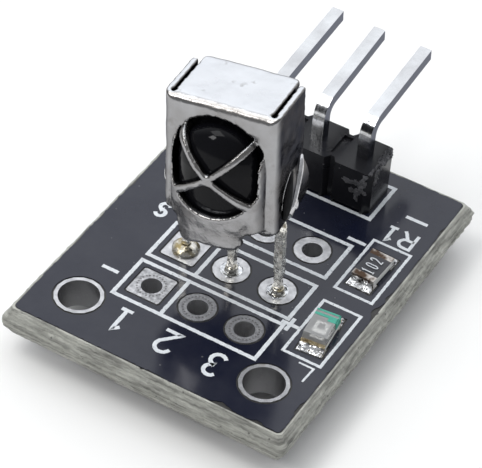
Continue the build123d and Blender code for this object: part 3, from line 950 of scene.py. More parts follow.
@dataclass(frozen=True)
class Stroke:
    """One line of print: a flat ribbon with a slightly rough edge.

    A corner sharper than the least cosine isn't mitred out any further, and
    the two edges wander by different noise, far apart along its third axis.
    """

    points: Sequence[Point]
    width: float
    closed: bool = False
    step: float = 0.09
    waves_per_mm: float = 8.0
    edges_apart: float = 7.0
    least_cosine: float = 0.5

    def _sampled(self) -> list[Vector]:
        """Cuts the middle line into short lengths.

        Returns:
            The points along it.
        """
        corners = [Vector(point) for point in self.points]
        ends = corners[1:] + (corners[:1] if self.closed else [])
        result = []
        for start, end in zip(corners, ends):
            count = max(1, round((end - start).length / self.step))
            result += [start.lerp(end, index / count) for index in range(count)]
        if not self.closed:
            result.append(corners[-1])
        return result

    def _sideways(self, line: list[Vector], index: int) -> tuple[Vector, float]:
        """Which way the ribbon widens at one point of its middle line.

        Args:
            line: the middle line.
            index: which point of it.

        Returns:
            The unit step to the left, and the cosine of half the bend.
        """
        point, last = line[index], len(line) - 1
        before = line[index - 1] if self.closed or index else point
        after = line[(index + 1) % len(line)] if self.closed or index < last else point
        along = (after - before).normalized()
        cosine = 1.0
        if self.closed or 0 < index < last:
            cosine = max(self.least_cosine, (point - before).normalized().dot(along))
        return Vector((-along.y, along.x)), cosine

    def build(self, work: bmesh.types.BMesh, low: float, height: float, wobble: float = 0.022) -> None:
        """Adds the ribbon's blocks to a bmesh.

        Args:
            work: the mesh that all strokes of a print go into.
            low: height of the lacquer under it.
            height: thickness of the ink.
            wobble: how far its edge wanders.
        """
        line = self._sampled()
        rows = []
        for index, point in enumerate(line):
            across, cosine = self._sideways(line, index)
            row = []
            for side in (-1, 1):
                place = Vector((point.x * self.waves_per_mm, point.y * self.waves_per_mm,
                                side * self.edges_apart))
                drift = noise.noise(place) * wobble
                edge = point + across * side * (self.width / 2 / cosine + drift)
                row.append([work.verts.new(mm(edge.x, edge.y, z)) for z in (low, low + height)])
            rows.append(row)
        for one, two in zip(rows, rows[1:] + (rows[:1] if self.closed else [])):
            work.faces.new((one[0][1], one[1][1], two[1][1], two[0][1]))
            work.faces.new((one[0][0], two[0][0], two[1][0], one[1][0]))
            work.faces.new((one[0][0], one[0][1], two[0][1], two[0][0]))
            work.faces.new((one[1][0], two[1][0], two[1][1], one[1][1]))
        if not self.closed:
            for row in (rows[0], rows[-1]):
                work.faces.new((row[0][0], row[1][0], row[1][1], row[0][1]))


class Glyph(Enum):
    """Single-line figures and letters in a cell 0.6 wide and 1 high."""

    ONE = (((0.12, 0.8), (0.32, 1.0), (0.32, 0.0)), ((0.1, 0.0), (0.54, 0.0)))
    TWO = ((*arc(0.3, 0.72, 0.28, 170, -35), (0.02, 0.0), (0.6, 0.0)),)
    ZERO = ((*arc(0.3, 0.72, 0.28, 0, 180), *arc(0.3, 0.28, 0.28, 180, 360), (0.58, 0.72)),)
    THREE = ((*arc(0.27, 0.76, 0.24, 150, -90), *arc(0.27, 0.26, 0.26, 90, -150)),)
    CAPITAL_R = (
        ((0.0, 0.0), (0.0, 1.0), (0.3, 1.0), *arc(0.32, 0.74, 0.26, 90, -90), (0.0, 0.48)),
        ((0.3, 0.48), (0.62, 0.0)),
    )
    CAPITAL_S = ((*arc(0.3, 0.74, 0.26, 20, 270), *arc(0.3, 0.24, 0.26, 90, -160)),)

    def strokes(self, corner: Point, height: float, width: float, upside_down: bool,
                narrow: float = 1.0) -> list[Stroke]:
        """Places the figure on the board.

        Args:
            corner: its lower left corner as it is read.
            height: of the figure.
            width: of the line.
            upside_down: whether it is read from the header's side.
            narrow: share of its plain width.

        Returns:
            Its strokes.
        """
        sign = -height if upside_down else height
        return [
            Stroke([(corner[0] + sign * x * narrow, corner[1] + sign * y) for x, y in line], width)
            for line in self.value
        ]


class Unevenness(Enum):
    """How the surface of a worn copy moves."""

    FLOWED = "soft swells"
    CRUMPLED = "sharp creases"

    def height(self, place: Vector) -> float:
        """Height of the surface.

        Args:
            place: counted in waves.

        Returns:
            A height from about -1 to 1.
        """
        if self is Unevenness.FLOWED:
            return 1.4 * noise.noise(place)
        near = noise.voronoi(place)[0]
        return 1.6 * (near[1] - near[0]) - 0.6


@dataclass(frozen=True)
class WornCopy:
    """A finer and uneven version of one solid, which takes its place."""

    node: str
    slot: str
    finish: str
    unevenness: Unevenness
    voxel: float = 0.05
    per_mm: float = 2.0
    depth: float = 0.05
    finer: float = 2.7
    finer_share: float = 0.4
    relaxed: int = 1
    swell: float = 0.0

    def _evenly_cut(self, cutter: bpy.types.Mesh | None) -> bmesh.types.BMesh:
        """The solid's surface as small even faces.

        Args:
            cutter: what is taken out of it first.

        Returns:
            The mesh, in the module's frame.
        """
        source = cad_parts[self.node]
        holder = bpy.data.objects.new("evenly_cut", source.data.copy())
        holder.matrix_world = source.matrix_world
        bpy.context.scene.collection.objects.link(holder)
        if cutter is not None:
            tool = bpy.data.objects.new("cutter", cutter)
            bpy.context.scene.collection.objects.link(tool)
            opened = holder.modifiers.new("opened", "BOOLEAN")
            opened.operation = "DIFFERENCE"
            opened.object = tool
        even = holder.modifiers.new("even_faces", "REMESH")
        even.mode = "VOXEL"
        even.voxel_size = mm(self.voxel)
        bpy.context.view_layer.update()
        ready = holder.evaluated_get(bpy.context.evaluated_depsgraph_get())
        mesh = bpy.data.meshes.new_from_object(ready)
        mesh.transform(source.matrix_world)
        work = bmesh.new()
        work.from_mesh(mesh)
        bpy.data.objects.remove(holder)
        bpy.data.meshes.remove(mesh)
        if cutter is not None:
            bpy.data.objects.remove(tool)
            bpy.data.meshes.remove(cutter)
        return work

    def _push(self, place: Vector) -> float:
        """How far the surface is moved outward.

        Args:
            place: where, in metres.

        Returns:
            The way in millimetres, below zero for inward.
        """
        waves = place * 1000 * self.per_mm
        fine = self.finer_share * self.unevenness.height(waves * self.finer)
        return self.swell + self.depth * (self.unevenness.height(waves) + fine)

    def build(self, finishes: Finishes, cutter: bpy.types.Mesh | None = None) -> None:
        """Makes the copy and puts it in the solid's place.

        Args:
            finishes: where its finish comes from.
            cutter: what is taken out of the solid first.
        """
        work = self._evenly_cut(cutter)
        for _ in range(self.relaxed):
            bmesh.ops.smooth_vert(work, verts=work.verts, factor=0.5, use_axis_x=True, use_axis_y=True,
                                  use_axis_z=True)
        work.normal_update()
        for vert in work.verts:
            vert.co += vert.normal * mm(self._push(vert.co))
        name = "worn_" + self.node
        piece = new_piece(name, mesh_from(name, work, smooth=True))
        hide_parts(self.node)
        finishes.on(piece, self.finish)
        log.info("%s: %d faces", name, len(piece.data.polygons))


@dataclass(frozen=True)
class Wire:
    """A round length of metal whose radius changes along its path, in millimetres."""

    path: tuple[Triple, ...]
    radii: tuple[float, ...]
    sides: int = 10
    rounds: int = 3
    closed: bool = False

    def _rounded(self) -> list[tuple[Vector, float]]:
        """Cuts the path's corners off again and again.

        Returns:
            The places and the radius at each.
        """
        line = [(Vector(point), radius) for point, radius in zip(self.path, self.radii)]
        for _ in range(self.rounds):
            cut = []
            for (one, first), (two, second) in zip(line, line[1:] + (line[:1] if self.closed else [])):
                for share in (0.25, 0.75):
                    cut.append((one.lerp(two, share), first + (second - first) * share))
            line = cut if self.closed else [line[0], *cut[1:-1], line[-1]]
        return line

    def add_to(self, work: bmesh.types.BMesh, place: Matrix) -> None:
        """Adds the wire.

        Args:
            work: the mesh it goes into.
            place: from the path's own frame in millimetres to the module's in metres.
        """
        line = self._rounded()
        count = len(line)
        angles = [2 * math.pi * step / self.sides for step in range(self.sides)]
        side = Vector((1.0, 0.0, 0.0))
        rings = []
        for index, (middle, radius) in enumerate(line):
            before = line[index - 1][0] if index or self.closed else middle
            after = line[(index + 1) % count][0] if index < count - 1 or self.closed else middle
            along = (after - before).normalized()
            one = (side - along * side.dot(along)).normalized()
            two = along.cross(one)
            rings.append([
                work.verts.new(place @ (middle + (one * math.cos(turn) + two * math.sin(turn)) * radius))
                for turn in angles
            ])
        for first, second in zip(rings, rings[1:] + (rings[:1] if self.closed else [])):
            for step in range(self.sides):
                after = (step + 1) % self.sides
                work.faces.new((first[step], first[after], second[after], second[step]))
        if not self.closed:
            work.faces.new(list(reversed(rings[0])))
            work.faces.new(rings[-1])


# The board


@dataclass(frozen=True)
class ChipPlace:
    """Where a chip lies on the board and which lands it has, in millimetres and degrees."""

    x: float
    y: float
    turn: float
    half_length: float = 1.0
    land: Point = (1.3, 0.75)
    land_lap: float = 0.35

    def matrix(self, height: float, turn: float = 0.0) -> Matrix:
        """Where the chip's own drawing goes.

        Args:
            height: of the drawing over the board's underside.
            turn: of the drawing on the chip.

        Returns:
            The matrix from the drawing to the module, in metres.
        """
        angle = math.radians(self.turn + turn)
        return Matrix.Translation(mm(self.x, self.y, height)) @ Matrix.Rotation(angle, 4, "Z")

    def lands(self, grow: float) -> list[list[Point]]:
        """Outlines of both lands.

        Args:
            grow: how much wider than the land they are, on each side.

        Returns:
            Two rectangles.
        """
        reach = self.half_length + self.land[1] / 2 - self.land_lap
        angle = math.radians(self.turn)
        width, length = (side + 2 * grow for side in self.land)
        return [
            turned_rectangle(self.x - end * reach * math.sin(angle), self.y + end * reach * math.cos(angle),
                             width, length, self.turn)
            for end in (-1, 1)
        ]


@dataclass(frozen=True)
class WhitePrint:
    """The white lines, marks and figures on the component side, in millimetres.

    A frame is given by its left, right, front and back side, a dash by its two
    ends and its Y, and a letter by its corner, its height and its line.
    """

    line: float = 0.2
    chip_line: float = 0.15
    row_frames: tuple[Sides, ...] = (
        (-3.85, 3.9, 1.06, 3.69), (-3.85, 3.9, 4.16, 6.78), (-3.85, 3.98, 7.49, 10.13),
    )
    divider_x: float = -1.22
    header_frame: Sides = (-3.79, 3.79, 12.29, 14.93)
    chip_frames: tuple[Sides, ...] = ((4.67, 6.67, 7.23, 11.14), (4.68, 6.66, 2.29, 6.18))
    dashes: tuple[Triple, ...] = ((-5.21, -4.31, 2.30), (3.53, 4.51, 10.58), (5.19, 6.37, 13.49))
    plus_at: Point = (4.15, 3.89)
    plus_arm: float = 0.45
    hook: tuple[Point, ...] = ((5.7, 2.01), (6.47, 2.01), (6.42, 1.04))
    hook_line: float = 0.1
    letters: tuple[tuple[Glyph, Point, float, float], ...] = (
        (Glyph.CAPITAL_R, (6.4, 12.56), 1.13, 0.17), (Glyph.ONE, (5.42, 12.46), 1.0, 0.17),
        (Glyph.CAPITAL_S, (-4.62, 7.65), 0.94, 0.2),
    )
    number_offset: Point = (0.4, 0.42)
    number_height: float = 1.4

    @staticmethod
    def _frame(sides: Sides, line: float) -> Stroke:
        """A closed frame, given by its sides and the width of its line."""
        left, right, front, back = sides
        return Stroke(((left, front), (right, front), (right, back), (left, back)), line, closed=True)

    def _marks(self) -> list[Stroke]:
        """The dashes, the plus sign at the lamp and the hook beside it.

        Returns:
            The strokes.
        """
        x, y = self.plus_at
        arm = self.plus_arm
        marks = [Stroke(((start, height), (end, height)), self.line) for start, end, height in self.dashes]
        marks.append(Stroke(((x - arm, y), (x + arm, y)), self.line))
        marks.append(Stroke(((x, y - arm), (x, y + arm)), self.line))
        marks.append(Stroke(self.hook, self.hook_line))
        return marks

    def strokes(self, columns: Sequence[float]) -> list[Stroke]:
        """Draws everything.

        Args:
            columns: X of the pads, each with its plain number.

        Returns:
            The strokes.
        """
        strokes = []
        for sides in self.row_frames:
            strokes.append(self._frame(sides, self.line))
            strokes.append(Stroke([(self.divider_x, y) for y in sides[2:]], self.line))
        strokes.append(self._frame(self.header_frame, self.line))
        strokes += [self._frame(sides, self.chip_line) for sides in self.chip_frames]
        strokes += self._marks()
        for glyph, corner, height, line in self.letters:
            strokes += glyph.strokes(corner, height, line, True)
        for glyph, x in zip((Glyph.ONE, Glyph.TWO, Glyph.THREE), columns):
            corner = (x + self.number_offset[0], self.number_offset[1])
            strokes += glyph.strokes(corner, self.number_height, self.line, True)
        return strokes


@dataclass(frozen=True)
class ChippedBorder:
    """Breaks an outline up: small teeth everywhere and a few deeper nicks.

    A nick begins where its noise is over a limit and deepens with it.
    """

    layer: float = 3.7
    teeth: float = 0.05
    fine_teeth: float = 0.03
    nick: float = 0.64
    nick_limit: float = 0.28
    teeth_per_mm: float = 4.2
    fine_teeth_per_mm: float = 11.0
    nicks_per_mm: float = 0.9

    def _inward(self, place: Vector) -> float:
        """How far the outline is moved inward.

        Args:
            place: a point of it, in the noise's own layer.

        Returns:
            The way, below zero for outward.
        """
        coarse = noise.noise(place * self.teeth_per_mm) * self.teeth
        fine = noise.noise(place * self.fine_teeth_per_mm) * self.fine_teeth
        deep = max(0.0, noise.noise(place * self.nicks_per_mm) - self.nick_limit) * self.nick
        return coarse + fine + deep

    def broken(self, points: list[Point]) -> list[Point]:
        """Breaks one outline up.

        Args:
            points: a smooth closed outline, anticlockwise.

        Returns:
            As many points, moved across the outline.
        """
        moved = []
        for before, point, after in zip(points[-1:] + points[:-1], points, points[1:] + points[:1]):
            along = Vector(after) - Vector(before)
            inward = Vector((-along.y, along.x)).normalized()
            moved.append(tuple(Vector(point) + inward * self._inward(Vector((*point, self.layer)))))
        return moved


@dataclass(frozen=True)
class RimLevel:
    """One height of the snapped edge.

    Its draw is the share of the board's inset that it takes, and its rough how
    torn it is.
    """

    z: float
    draw: float
    rough: float


@dataclass(frozen=True)
class Board:
    """The board: its snapped edge, lacquer, plating and white print."""

    finishes: Finishes
    chips: tuple[ChipPlace, ...]
    drawing: WhitePrint = WhitePrint()
    border: ChippedBorder = ChippedBorder()
    thickness: float = 1.6
    lacquer: float = 0.04
    corner: float = 0.25
    gap_round_pads: float = 0.08
    pad_radius: float = 0.91
    pad_square: float = 1.8
    pad_corner: float = 0.16
    pad_edge: float = 0.02
    ring_radius: float = 1.2
    rows: tuple[float, ...] = (2.43, 5.49, 8.83, 13.61)
    columns: tuple[float, ...] = (-PITCH, 0.0, PITCH)
    hole_spacing: float = 10.05
    web: Point = (0.575, 1.025)
    insets: Point = (0.33, 0.36)
    lacquer_margin: float = 0.02
    border_step: float = 0.08
    rim_step: float = 0.11
    rim_skin: float = 0.004
    rim_depth: float = 0.7
    rim_from: Point = (6.9, 8.9)
    rim_blend: float = 0.5
    rim_push: float = 0.085
    coarse_fibres: float = 0.05
    fine_fibres: float = 0.035
    fibres_per_mm: Triple = (3.4, 3.4, 5.0)
    finer: float = 3.1
    ink_height: float = 0.012
    ink_step: float = 0.0012
    ink_steps: int = 7

    def outline(self, margin: Point, step: float) -> list[Point]:
        """Board outline drawn in, cut into short lengths.

        Args:
            margin: inset at the two sides, and at the front and back.
            step: length between points.

        Returns:
            Points that go once round, anticlockwise.
        """
        low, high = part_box("circuit_board")
        left, right = low.x * 1000 + margin[0] + self.corner, high.x * 1000 - margin[0] - self.corner
        front, back = low.y * 1000 + margin[1] + self.corner, high.y * 1000 - margin[1] - self.corner
        centres = ((right, front, -90), (right, back, 0), (left, back, 90), (left, front, 180))
        bends = [arc(x, y, self.corner, start, start + 90, 4) for x, y, start in centres]
        points = []
        for bend, following in zip(bends, bends[1:] + bends[:1]):
            start = Vector(bend[-1])
            run = Vector(following[0]) - start
            count = max(2, round(run.length / step))
            points += bend
            points += [tuple(start + run * share / count) for share in range(1, count)]
        return points

    def rim_levels(self) -> list[RimLevel]:
        """The heights that the snapped edge is drawn at.

        Returns:
            The levels from the top down.
        """
        top, (web_low, web_high) = self.thickness, self.web
        return [
            RimLevel(top - self.rim_skin, 1.0, 0.0), RimLevel(top - 3 * self.rim_skin, 1.0, 0.4),
            RimLevel(top - 0.2, 0.72, 1.0), RimLevel(web_high + 0.16, 0.3, 1.0),
            RimLevel(web_high, 0.0, 1.2), RimLevel((web_low + web_high) / 2, 0.0, 1.4),
            RimLevel(web_low, 0.0, 1.2), RimLevel(0.3, 0.5, 1.0), RimLevel(self.rim_skin, 0.9, 0.6),
        ]

    def rim_spot(self, x: float, y: float, middle_y: float, level: RimLevel) -> Vector:
        """Where one point of the snapped edge stands.

        Args:
            x: of the board's outline.
            y: of the board's outline.
            middle_y: of the board.
            level: the height that the point is at.

        Returns:
            The place in metres.
        """
        place = Vector([value * waves for value, waves in zip((x, y, level.z), self.fibres_per_mm)])
        torn = self.coarse_fibres * noise.noise(place) + self.fine_fibres * noise.noise(place * self.finer)
        push = self.rim_push + level.rough * torn
        spot = []
        for value, middle, begin, inset in zip((x, y), (0.0, middle_y), self.rim_from, self.insets):
            share = min(1.0, max(0.0, (abs(value - middle) - begin) / self.rim_blend))
            spot.append(value + math.copysign(share, value - middle) * (push - inset * level.draw))
        return mm(*spot, level.z)

    def snapped_rim(self) -> None:
        """The torn laminate all round, over the bevels that scoring left."""
        base = self.outline((0.0, 0.0), self.rim_step)
        low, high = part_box("circuit_board")
        middle_y = (low.y + high.y) * 500
        work = bmesh.new()
        ring = []
        for level in self.rim_levels():
            ring.append([work.verts.new(self.rim_spot(x, y, middle_y, level)) for x, y in base])
        for z in (self.rim_skin, self.thickness - self.rim_skin):
            ring.append([
                work.verts.new(mm(x - math.copysign(self.rim_depth, x),
                                  y - math.copysign(self.rim_depth, y - middle_y), z))
                for x, y in base
            ])
        for one, two in zip(ring, ring[1:] + ring[:1]):
            for index in range(len(base)):
                work.faces.new((one[index - 1], two[index - 1], two[index], one[index]))
        piece = new_piece("snapped_rim", mesh_from("snapped_rim", work))
        self.finishes.on(piece, "snapped_laminate")
        log.info("snapped_rim: %d points round the board", len(base))

    def openings(self) -> list[list[Point]]:
        """Outlines of all openings in the upper lacquer.

        Returns:
            One outline for each pad, ring and land.
        """
        grow = self.gap_round_pads
        first, *others = self.columns
        holes = []
        for y in self.rows:
            holes.append(rounded_square(first, y, self.pad_square + 2 * grow, self.pad_corner))
            holes += [circle_points(x, y, self.pad_radius + grow) for x in others]
        for side in (-1, 1):
            holes.append(circle_points(side * self.hole_spacing / 2, 0.0, self.ring_radius + grow))
        for chip in self.chips:
            holes += chip.lands(grow)
        return holes

    def upper_lacquer(self) -> None:
        """The glossy skin with its chipped border."""
        margin = tuple(inset + self.lacquer_margin for inset in self.insets)
        border = self.border.broken(self.outline(margin, self.border_step))
        mesh = plate_with_holes("upper_lacquer", border, self.openings(), self.thickness, self.lacquer)
        piece = new_piece("upper_lacquer", mesh)
        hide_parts("solder_mask_top")
        self.finishes.on(piece, "black_lacquer")
        log.info("upper_lacquer: %d points on its border", len(border))

    def white_print(self) -> None:
        """The ink, as thin raised lines on the lacquer.

        Strokes that cross differ a little in height.
        """
        work = bmesh.new()
        strokes = self.drawing.strokes(self.columns)
        for index, stroke in enumerate(strokes):
            height = self.ink_height + self.ink_step * (index % self.ink_steps)
            stroke.build(work, self.thickness + self.lacquer, height)
        piece = new_piece("white_print", mesh_from("white_print", work))
        self.finishes.on(piece, "white_print")
        log.info("white_print: %d strokes", len(strokes))

    def build(self) -> None:
        """Dresses the board's nodes and adds its pieces."""
        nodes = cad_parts
        plain = {
            "circuit_board": "drilled_laminate", "solder_mask_bottom": "black_lacquer",
            "resistor_lands": "patchy_solder", "lamp_lands": "patchy_solder",
        }
        plated = {
            "mounting_ring_left": "tinned_pad", "mounting_ring_right": "tinned_pad",
            "front_row_pads": "stamped_pad", "receiver_row_pads": "tinned_pad",
            # the rear row's bores carry painted light
            "rear_row_pads": "bright_bore_pad", "header_row_pads": "tinned_pad",
        }
        for name, finish in {**plain, **plated}.items():
            self.finishes.on(nodes[name], finish)
        for name in plated:
            self.finishes.soften(nodes[name], self.pad_edge)
        self.snapped_rim()
        self.upper_lacquer()
        self.white_print()


# Header


@dataclass(frozen=True)
class Scar:
    """One broad stroke of torn plastic on a flat face."""

    start: Point
    end: Point
    width: float


@dataclass(frozen=True)
class TornPatch:
    """Torn plastic standing out of one flat face, drawn as broad strokes."""

    corner: Triple
    across: Triple
    upward: Triple
    size: Point
    scars: tuple[Scar, ...]
    height: float = 0.11
    step: float = 0.045
    sunk: float = 0.05
    tears_per_mm: float = 5.0
    tear: float = 0.75
    fine_tear: float = 0.45
    finer: float = 3.0
    lumps_per_mm: float = 13.0
    lump_layer: float = 4.0
    least_rise: float = 0.25
    lump: float = 2.2

    def _strength(self, spot: Vector) -> float:
        """How far inside the nearest scar a spot lies, broken up by noise.

        Args:
            spot: on the face.

        Returns:
            A number that is over zero where the plastic is torn.
        """
        best = -1.0
        for scar in self.scars:
            start, run = Vector(scar.start), Vector(scar.end) - Vector(scar.start)
            share = min(1.0, max(0.0, (spot - start).dot(run) / run.length_squared))
            best = max(best, 1.0 - (spot - start - run * share).length / scar.width)
        place = Vector((spot.x * self.tears_per_mm, spot.y * self.tears_per_mm, self.corner[0]))
        return best + self.tear * noise.noise(place) + self.fine_tear * noise.noise(place * self.finer)

    def _points(self, spot: Vector, strength: float) -> tuple[Vector, Vector]:
        """The torn surface over one spot and the place under it.

        Args:
            spot: on the face.
            strength: how torn the plastic is there.

        Returns:
            The outer and the sunk point, in metres.
        """
        across, upward = Vector(self.across), Vector(self.upward)
        outward = across.cross(upward)
        place = Vector((spot.x * self.lumps_per_mm, spot.y * self.lumps_per_mm, self.lump_layer))
        rise = self.height * min(1.0, strength) * (self.least_rise + abs(noise.noise(place)) * self.lump)
        point = Vector(self.corner) + across * spot.x + upward * spot.y + outward * rise
        return mm(*point), mm(*(point - outward * (rise + self.sunk)))

    def add_to(self, work: bmesh.types.BMesh) -> None:
        """Adds the patch as closed lumps, sunk a little into the face.

        Args:
            work: the mesh they go into.
        """
        columns, rows = (round(side / self.step) for side in self.size)
        spots = {
            (i, j): Vector((i * self.step, j * self.step))
            for i in range(columns + 1) for j in range(rows + 1)
        }
        strengths = {key: self._strength(spot) for key, spot in spots.items()}
        cells = {}
        for i in range(columns):
            for j in range(rows):
                corners = ((i, j), (i + 1, j), (i + 1, j + 1), (i, j + 1))
                if min(strengths[key] for key in corners) > 0.0:
                    cells[i, j] = corners
        outer, sunk = {}, {}
        for key in dict.fromkeys(key for corners in cells.values() for key in corners):
            over, under = self._points(spots[key], strengths[key])
            outer[key], sunk[key] = work.verts.new(over), work.verts.new(under)
        for (i, j), corners in cells.items():
            work.faces.new([outer[key] for key in corners])
            work.faces.new([sunk[key] for key in reversed(corners)])
            neighbours = ((i, j - 1), (i + 1, j), (i, j + 1), (i - 1, j))
            for neighbour, one, two in zip(neighbours, corners, corners[1:] + corners[:1]):
                if neighbour not in cells:
                    work.faces.new((outer[two], outer[one], sunk[one], sunk[two]))


@dataclass(frozen=True)
class Header:
    """The moulded strip with its torn end, its pins and their joints."""

    finishes: Finishes
    pins: tuple[str, ...] = ("header_pin_left", "header_pin_middle", "header_pin_right")
    block_edge: float = 0.06
    pin_edge: float = 0.13

    def torn_end(self) -> None:
        """Rough torn plastic at the right end: along the top, the edge and the front."""
        low, high = (corner * 1000 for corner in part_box("header_block"))
        front = TornPatch((high.x - 1.55, low.y, low.z), (1, 0, 0), (0, 0, 1), (1.5, 2.55), (
            Scar((0.15, 1.75), (1.2, 1.95), 0.17), Scar((1.1, 1.5), (1.25, 2.4), 0.16),
            Scar((1.1, 1.7), (0.85, 0.9), 0.2), Scar((0.6, 1.3), (1.25, 1.4), 0.16),
        ))
        top = TornPatch((high.x - 0.34, low.y + 0.02, high.z), (1, 0, 0), (0, 1, 0), (0.34, 2.45), (
            Scar((0.22, 0.1), (0.24, 1.2), 0.1), Scar((0.2, 1.2), (0.16, 2.3), 0.2),
        ))
        end = TornPatch((high.x, low.y + 0.32, high.z - 1.0), (0, 1, 0), (0, 0, 1), (1.9, 1.0), (
            Scar((0.2, 0.3), (0.3, 0.95), 0.2), Scar((0.3, 0.85), (1.8, 0.9), 0.12),
        ))
        work = bmesh.new()
        for patch in (front, top, end):
            patch.add_to(work)
        piece = new_piece("torn_header_end", mesh_from("torn_header_end", work))
        self.finishes.on(piece, "torn_nylon")
        log.info("torn_header_end: %d faces", len(piece.data.polygons))

    def build(self) -> None:
        """Dresses the header's nodes and tears its end."""
        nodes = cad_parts
        self.finishes.on(nodes["header_block"], "header_nylon")
        self.finishes.soften(nodes["header_block"], self.block_edge)
        for name in self.pins:
            self.finishes.on(nodes[name], "bright_pin_tin")
            self.finishes.soften(nodes[name], self.pin_edge)
        WornCopy("header_joints", "solder", "bright_solder", Unevenness.FLOWED,
                 voxel=0.06).build(self.finishes)
        self.torn_end()
        log.info("header: block and %d pins dressed", len(self.pins))


# Receiver


@dataclass(frozen=True)
class Receiver:
    """The shielded receiver on its three leads.

    Its slits, springs and roof are given in its own frame, where X goes to the
    right and Z up before it is turned and lifted to its stand.
    """

    finishes: Finishes
    leads: tuple[str, ...] = ("receiver_lead_signal", "receiver_lead_ground", "receiver_lead_supply")
    stand: Triple = (0.0, 5.49, 6.3)
    half_width: float = 2.78
    slit_x: float = 2.43
    slit_width: float = 0.17
    slit_reach: Point = (-1.6, 1.45)
    roof: Point = (5.9, 6.5)
    dished_at: Point = (0.0, PITCH)
    dish: tuple[Point, ...] = (
        (0.08, 1.4), (0.54, 1.4), (0.56, 1.665), (0.47, 1.63), (0.38, 1.6), (0.3, 1.62),
        (0.24, 1.7), (0.2, 1.84), (0.16, 1.96), (0.08, 2.0),
    )
    dish_sides: int = 40
    dish_swell: float = 0.06
    dish_waves_per_mm: float = 4.0
    dish_uneven_from: float = 1.5

    def placed(self) -> Matrix:
        """From the receiver's own frame in millimetres to the module's in metres."""
        return Matrix.Translation(mm(*self.stand)) @ receiver_turn().to_4x4() @ Matrix.Scale(0.001, 4)

    def slits(self) -> bpy.types.Mesh:
        """Two blocks where the slits beside the top panel are sheared open.

        Returns:
            The blocks as one mesh.
        """
        work = bmesh.new()
        half = self.slit_width / 2
        for side in (-1, 1):
            low = (side * self.slit_x - half, self.slit_reach[0], self.roof[0])
            high = (side * self.slit_x + half, self.slit_reach[1], self.roof[1])
            add_block(work, low, high, unit=1.0)
        bmesh.ops.transform(work, matrix=self.placed(), verts=work.verts)
        return mesh_from("slits", work)

    def spring_rims(self) -> None:
        """The rolled edge of each side spring, the shadow in its gap and its small eyelet."""
        half = self.half_width
        rim = Wire((
            (half + 0.02, 0.72, 2.86), (half + 0.17, 0.32, 2.42), (half + 0.27, -0.15, 1.95),
            (half + 0.34, -0.6, 1.45), (half + 0.33, -0.88, 1.05), (half + 0.25, -0.93, 0.62),
            (half + 0.06, -0.72, 0.22),
        ), (0.12, 0.19, 0.18, 0.16, 0.19, 0.17, 0.08))
        # painted shadow: a near-black solid inside each spring's slit, where the gap is in shade
        gap = Wire((
            (half, -0.15, 2.62), (half + 0.12, -0.6, 2.3), (half + 0.19, -0.92, 1.8),
            (half + 0.2, -1.04, 1.3), (half + 0.17, -1.06, 0.85), (half + 0.06, -0.98, 0.4),
            (half - 0.02, -0.85, 0.12),
        ), (0.03, 0.13, 0.19, 0.2, 0.18, 0.13, 0.02))
        lip = Wire((
            (half - 0.03, -0.02, 2.86), (half - 0.01, -0.58, 2.5), (half - 0.01, -1.02, 2.02),
            (half - 0.01, -1.22, 1.5), (half - 0.01, -1.3, 0.95), (half - 0.03, -1.24, 0.45),
        ), (0.03, 0.07, 0.07, 0.05, 0.05, 0.03))
        eyelet = Wire(tuple(
            (half + 0.34, -0.42 + 0.12 * math.cos(turn), 0.9 + 0.21 * math.sin(turn))
            for turn in (0.0, 1.05, 2.09, 3.14, 4.19, 5.24)
        ), (0.09,) * 6, closed=True)
        metal, shadow = bmesh.new(), bmesh.new()
        for side in (1.0, -1.0):
            place = self.placed() @ Matrix.Diagonal((side, 1.0, 1.0, 1.0))
            for wire in (rim, lip, eyelet):
                wire.add_to(metal, place)
            gap.add_to(shadow, place)
        rims = new_piece("spring_rims", mesh_from("spring_rims", metal, True))
        self.finishes.on(rims, "rolled_edge_tin")
        gap_shadows = new_piece("spring_gap_shadows", mesh_from("spring_gap_shadows", shadow, True))
        self.finishes.on(gap_shadows, "gap_shadow")
        log.info("spring_rims and spring_gap_shadows: one on each side of the can")

    def joint_dishes(self) -> None:
        """Dished bright solder between each of the two right leads and its pad."""
        work = bmesh.new()
        for centre_x in self.dished_at:
            rings = []
            for step in range(self.dish_sides):
                turn = 2.0 * math.pi * step / self.dish_sides
                ring = []
                for radius, height in self.dish:
                    place = Vector((centre_x + radius * math.cos(turn),
                                    self.stand[1] + radius * math.sin(turn), height))
                    if height > self.dish_uneven_from:
                        height += self.dish_swell * noise.noise(place * self.dish_waves_per_mm)
                    ring.append(work.verts.new(mm(place.x, place.y, height)))
                rings.append(ring)
            for one, two in zip(rings, rings[1:] + rings[:1]):
                for index in range(len(self.dish)):
                    work.faces.new((one[index - 1], two[index - 1], two[index], one[index]))
        piece = new_piece("joint_dishes", mesh_from("joint_dishes", work, True))
        self.finishes.on(piece, "dished_solder")
        log.info("joint_dishes: %d faces", len(piece.data.polygons))

    def build(self) -> None:
        """Dresses the receiver's nodes."""
        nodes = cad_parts
        WornCopy("shield_can", "can_steel", "can_tinplate", Unevenness.FLOWED, voxel=0.052, per_mm=0.8,
                 depth=0.025, relaxed=5, swell=0.035).build(self.finishes, self.slits())
        self.spring_rims()
        self.finishes.on(nodes["receiver_body"], "polished_epoxy")
        for name in self.leads:
            WornCopy(name, "lead_plating", "crinkled_lead_tin", Unevenness.CRUMPLED, voxel=0.04,
                     per_mm=1.4, depth=0.04).build(self.finishes)
        for name in ("photodiode_chip", "amplifier_chip"):
            self.finishes.on(nodes[name], "bare_silicon")
        WornCopy("receiver_joints", "solder", "fluxed_solder", Unevenness.FLOWED, voxel=0.05,
                 per_mm=2.2, depth=0.03).build(self.finishes)
        self.joint_dishes()
        log.info("receiver: can, body and chips dressed")


# Chips


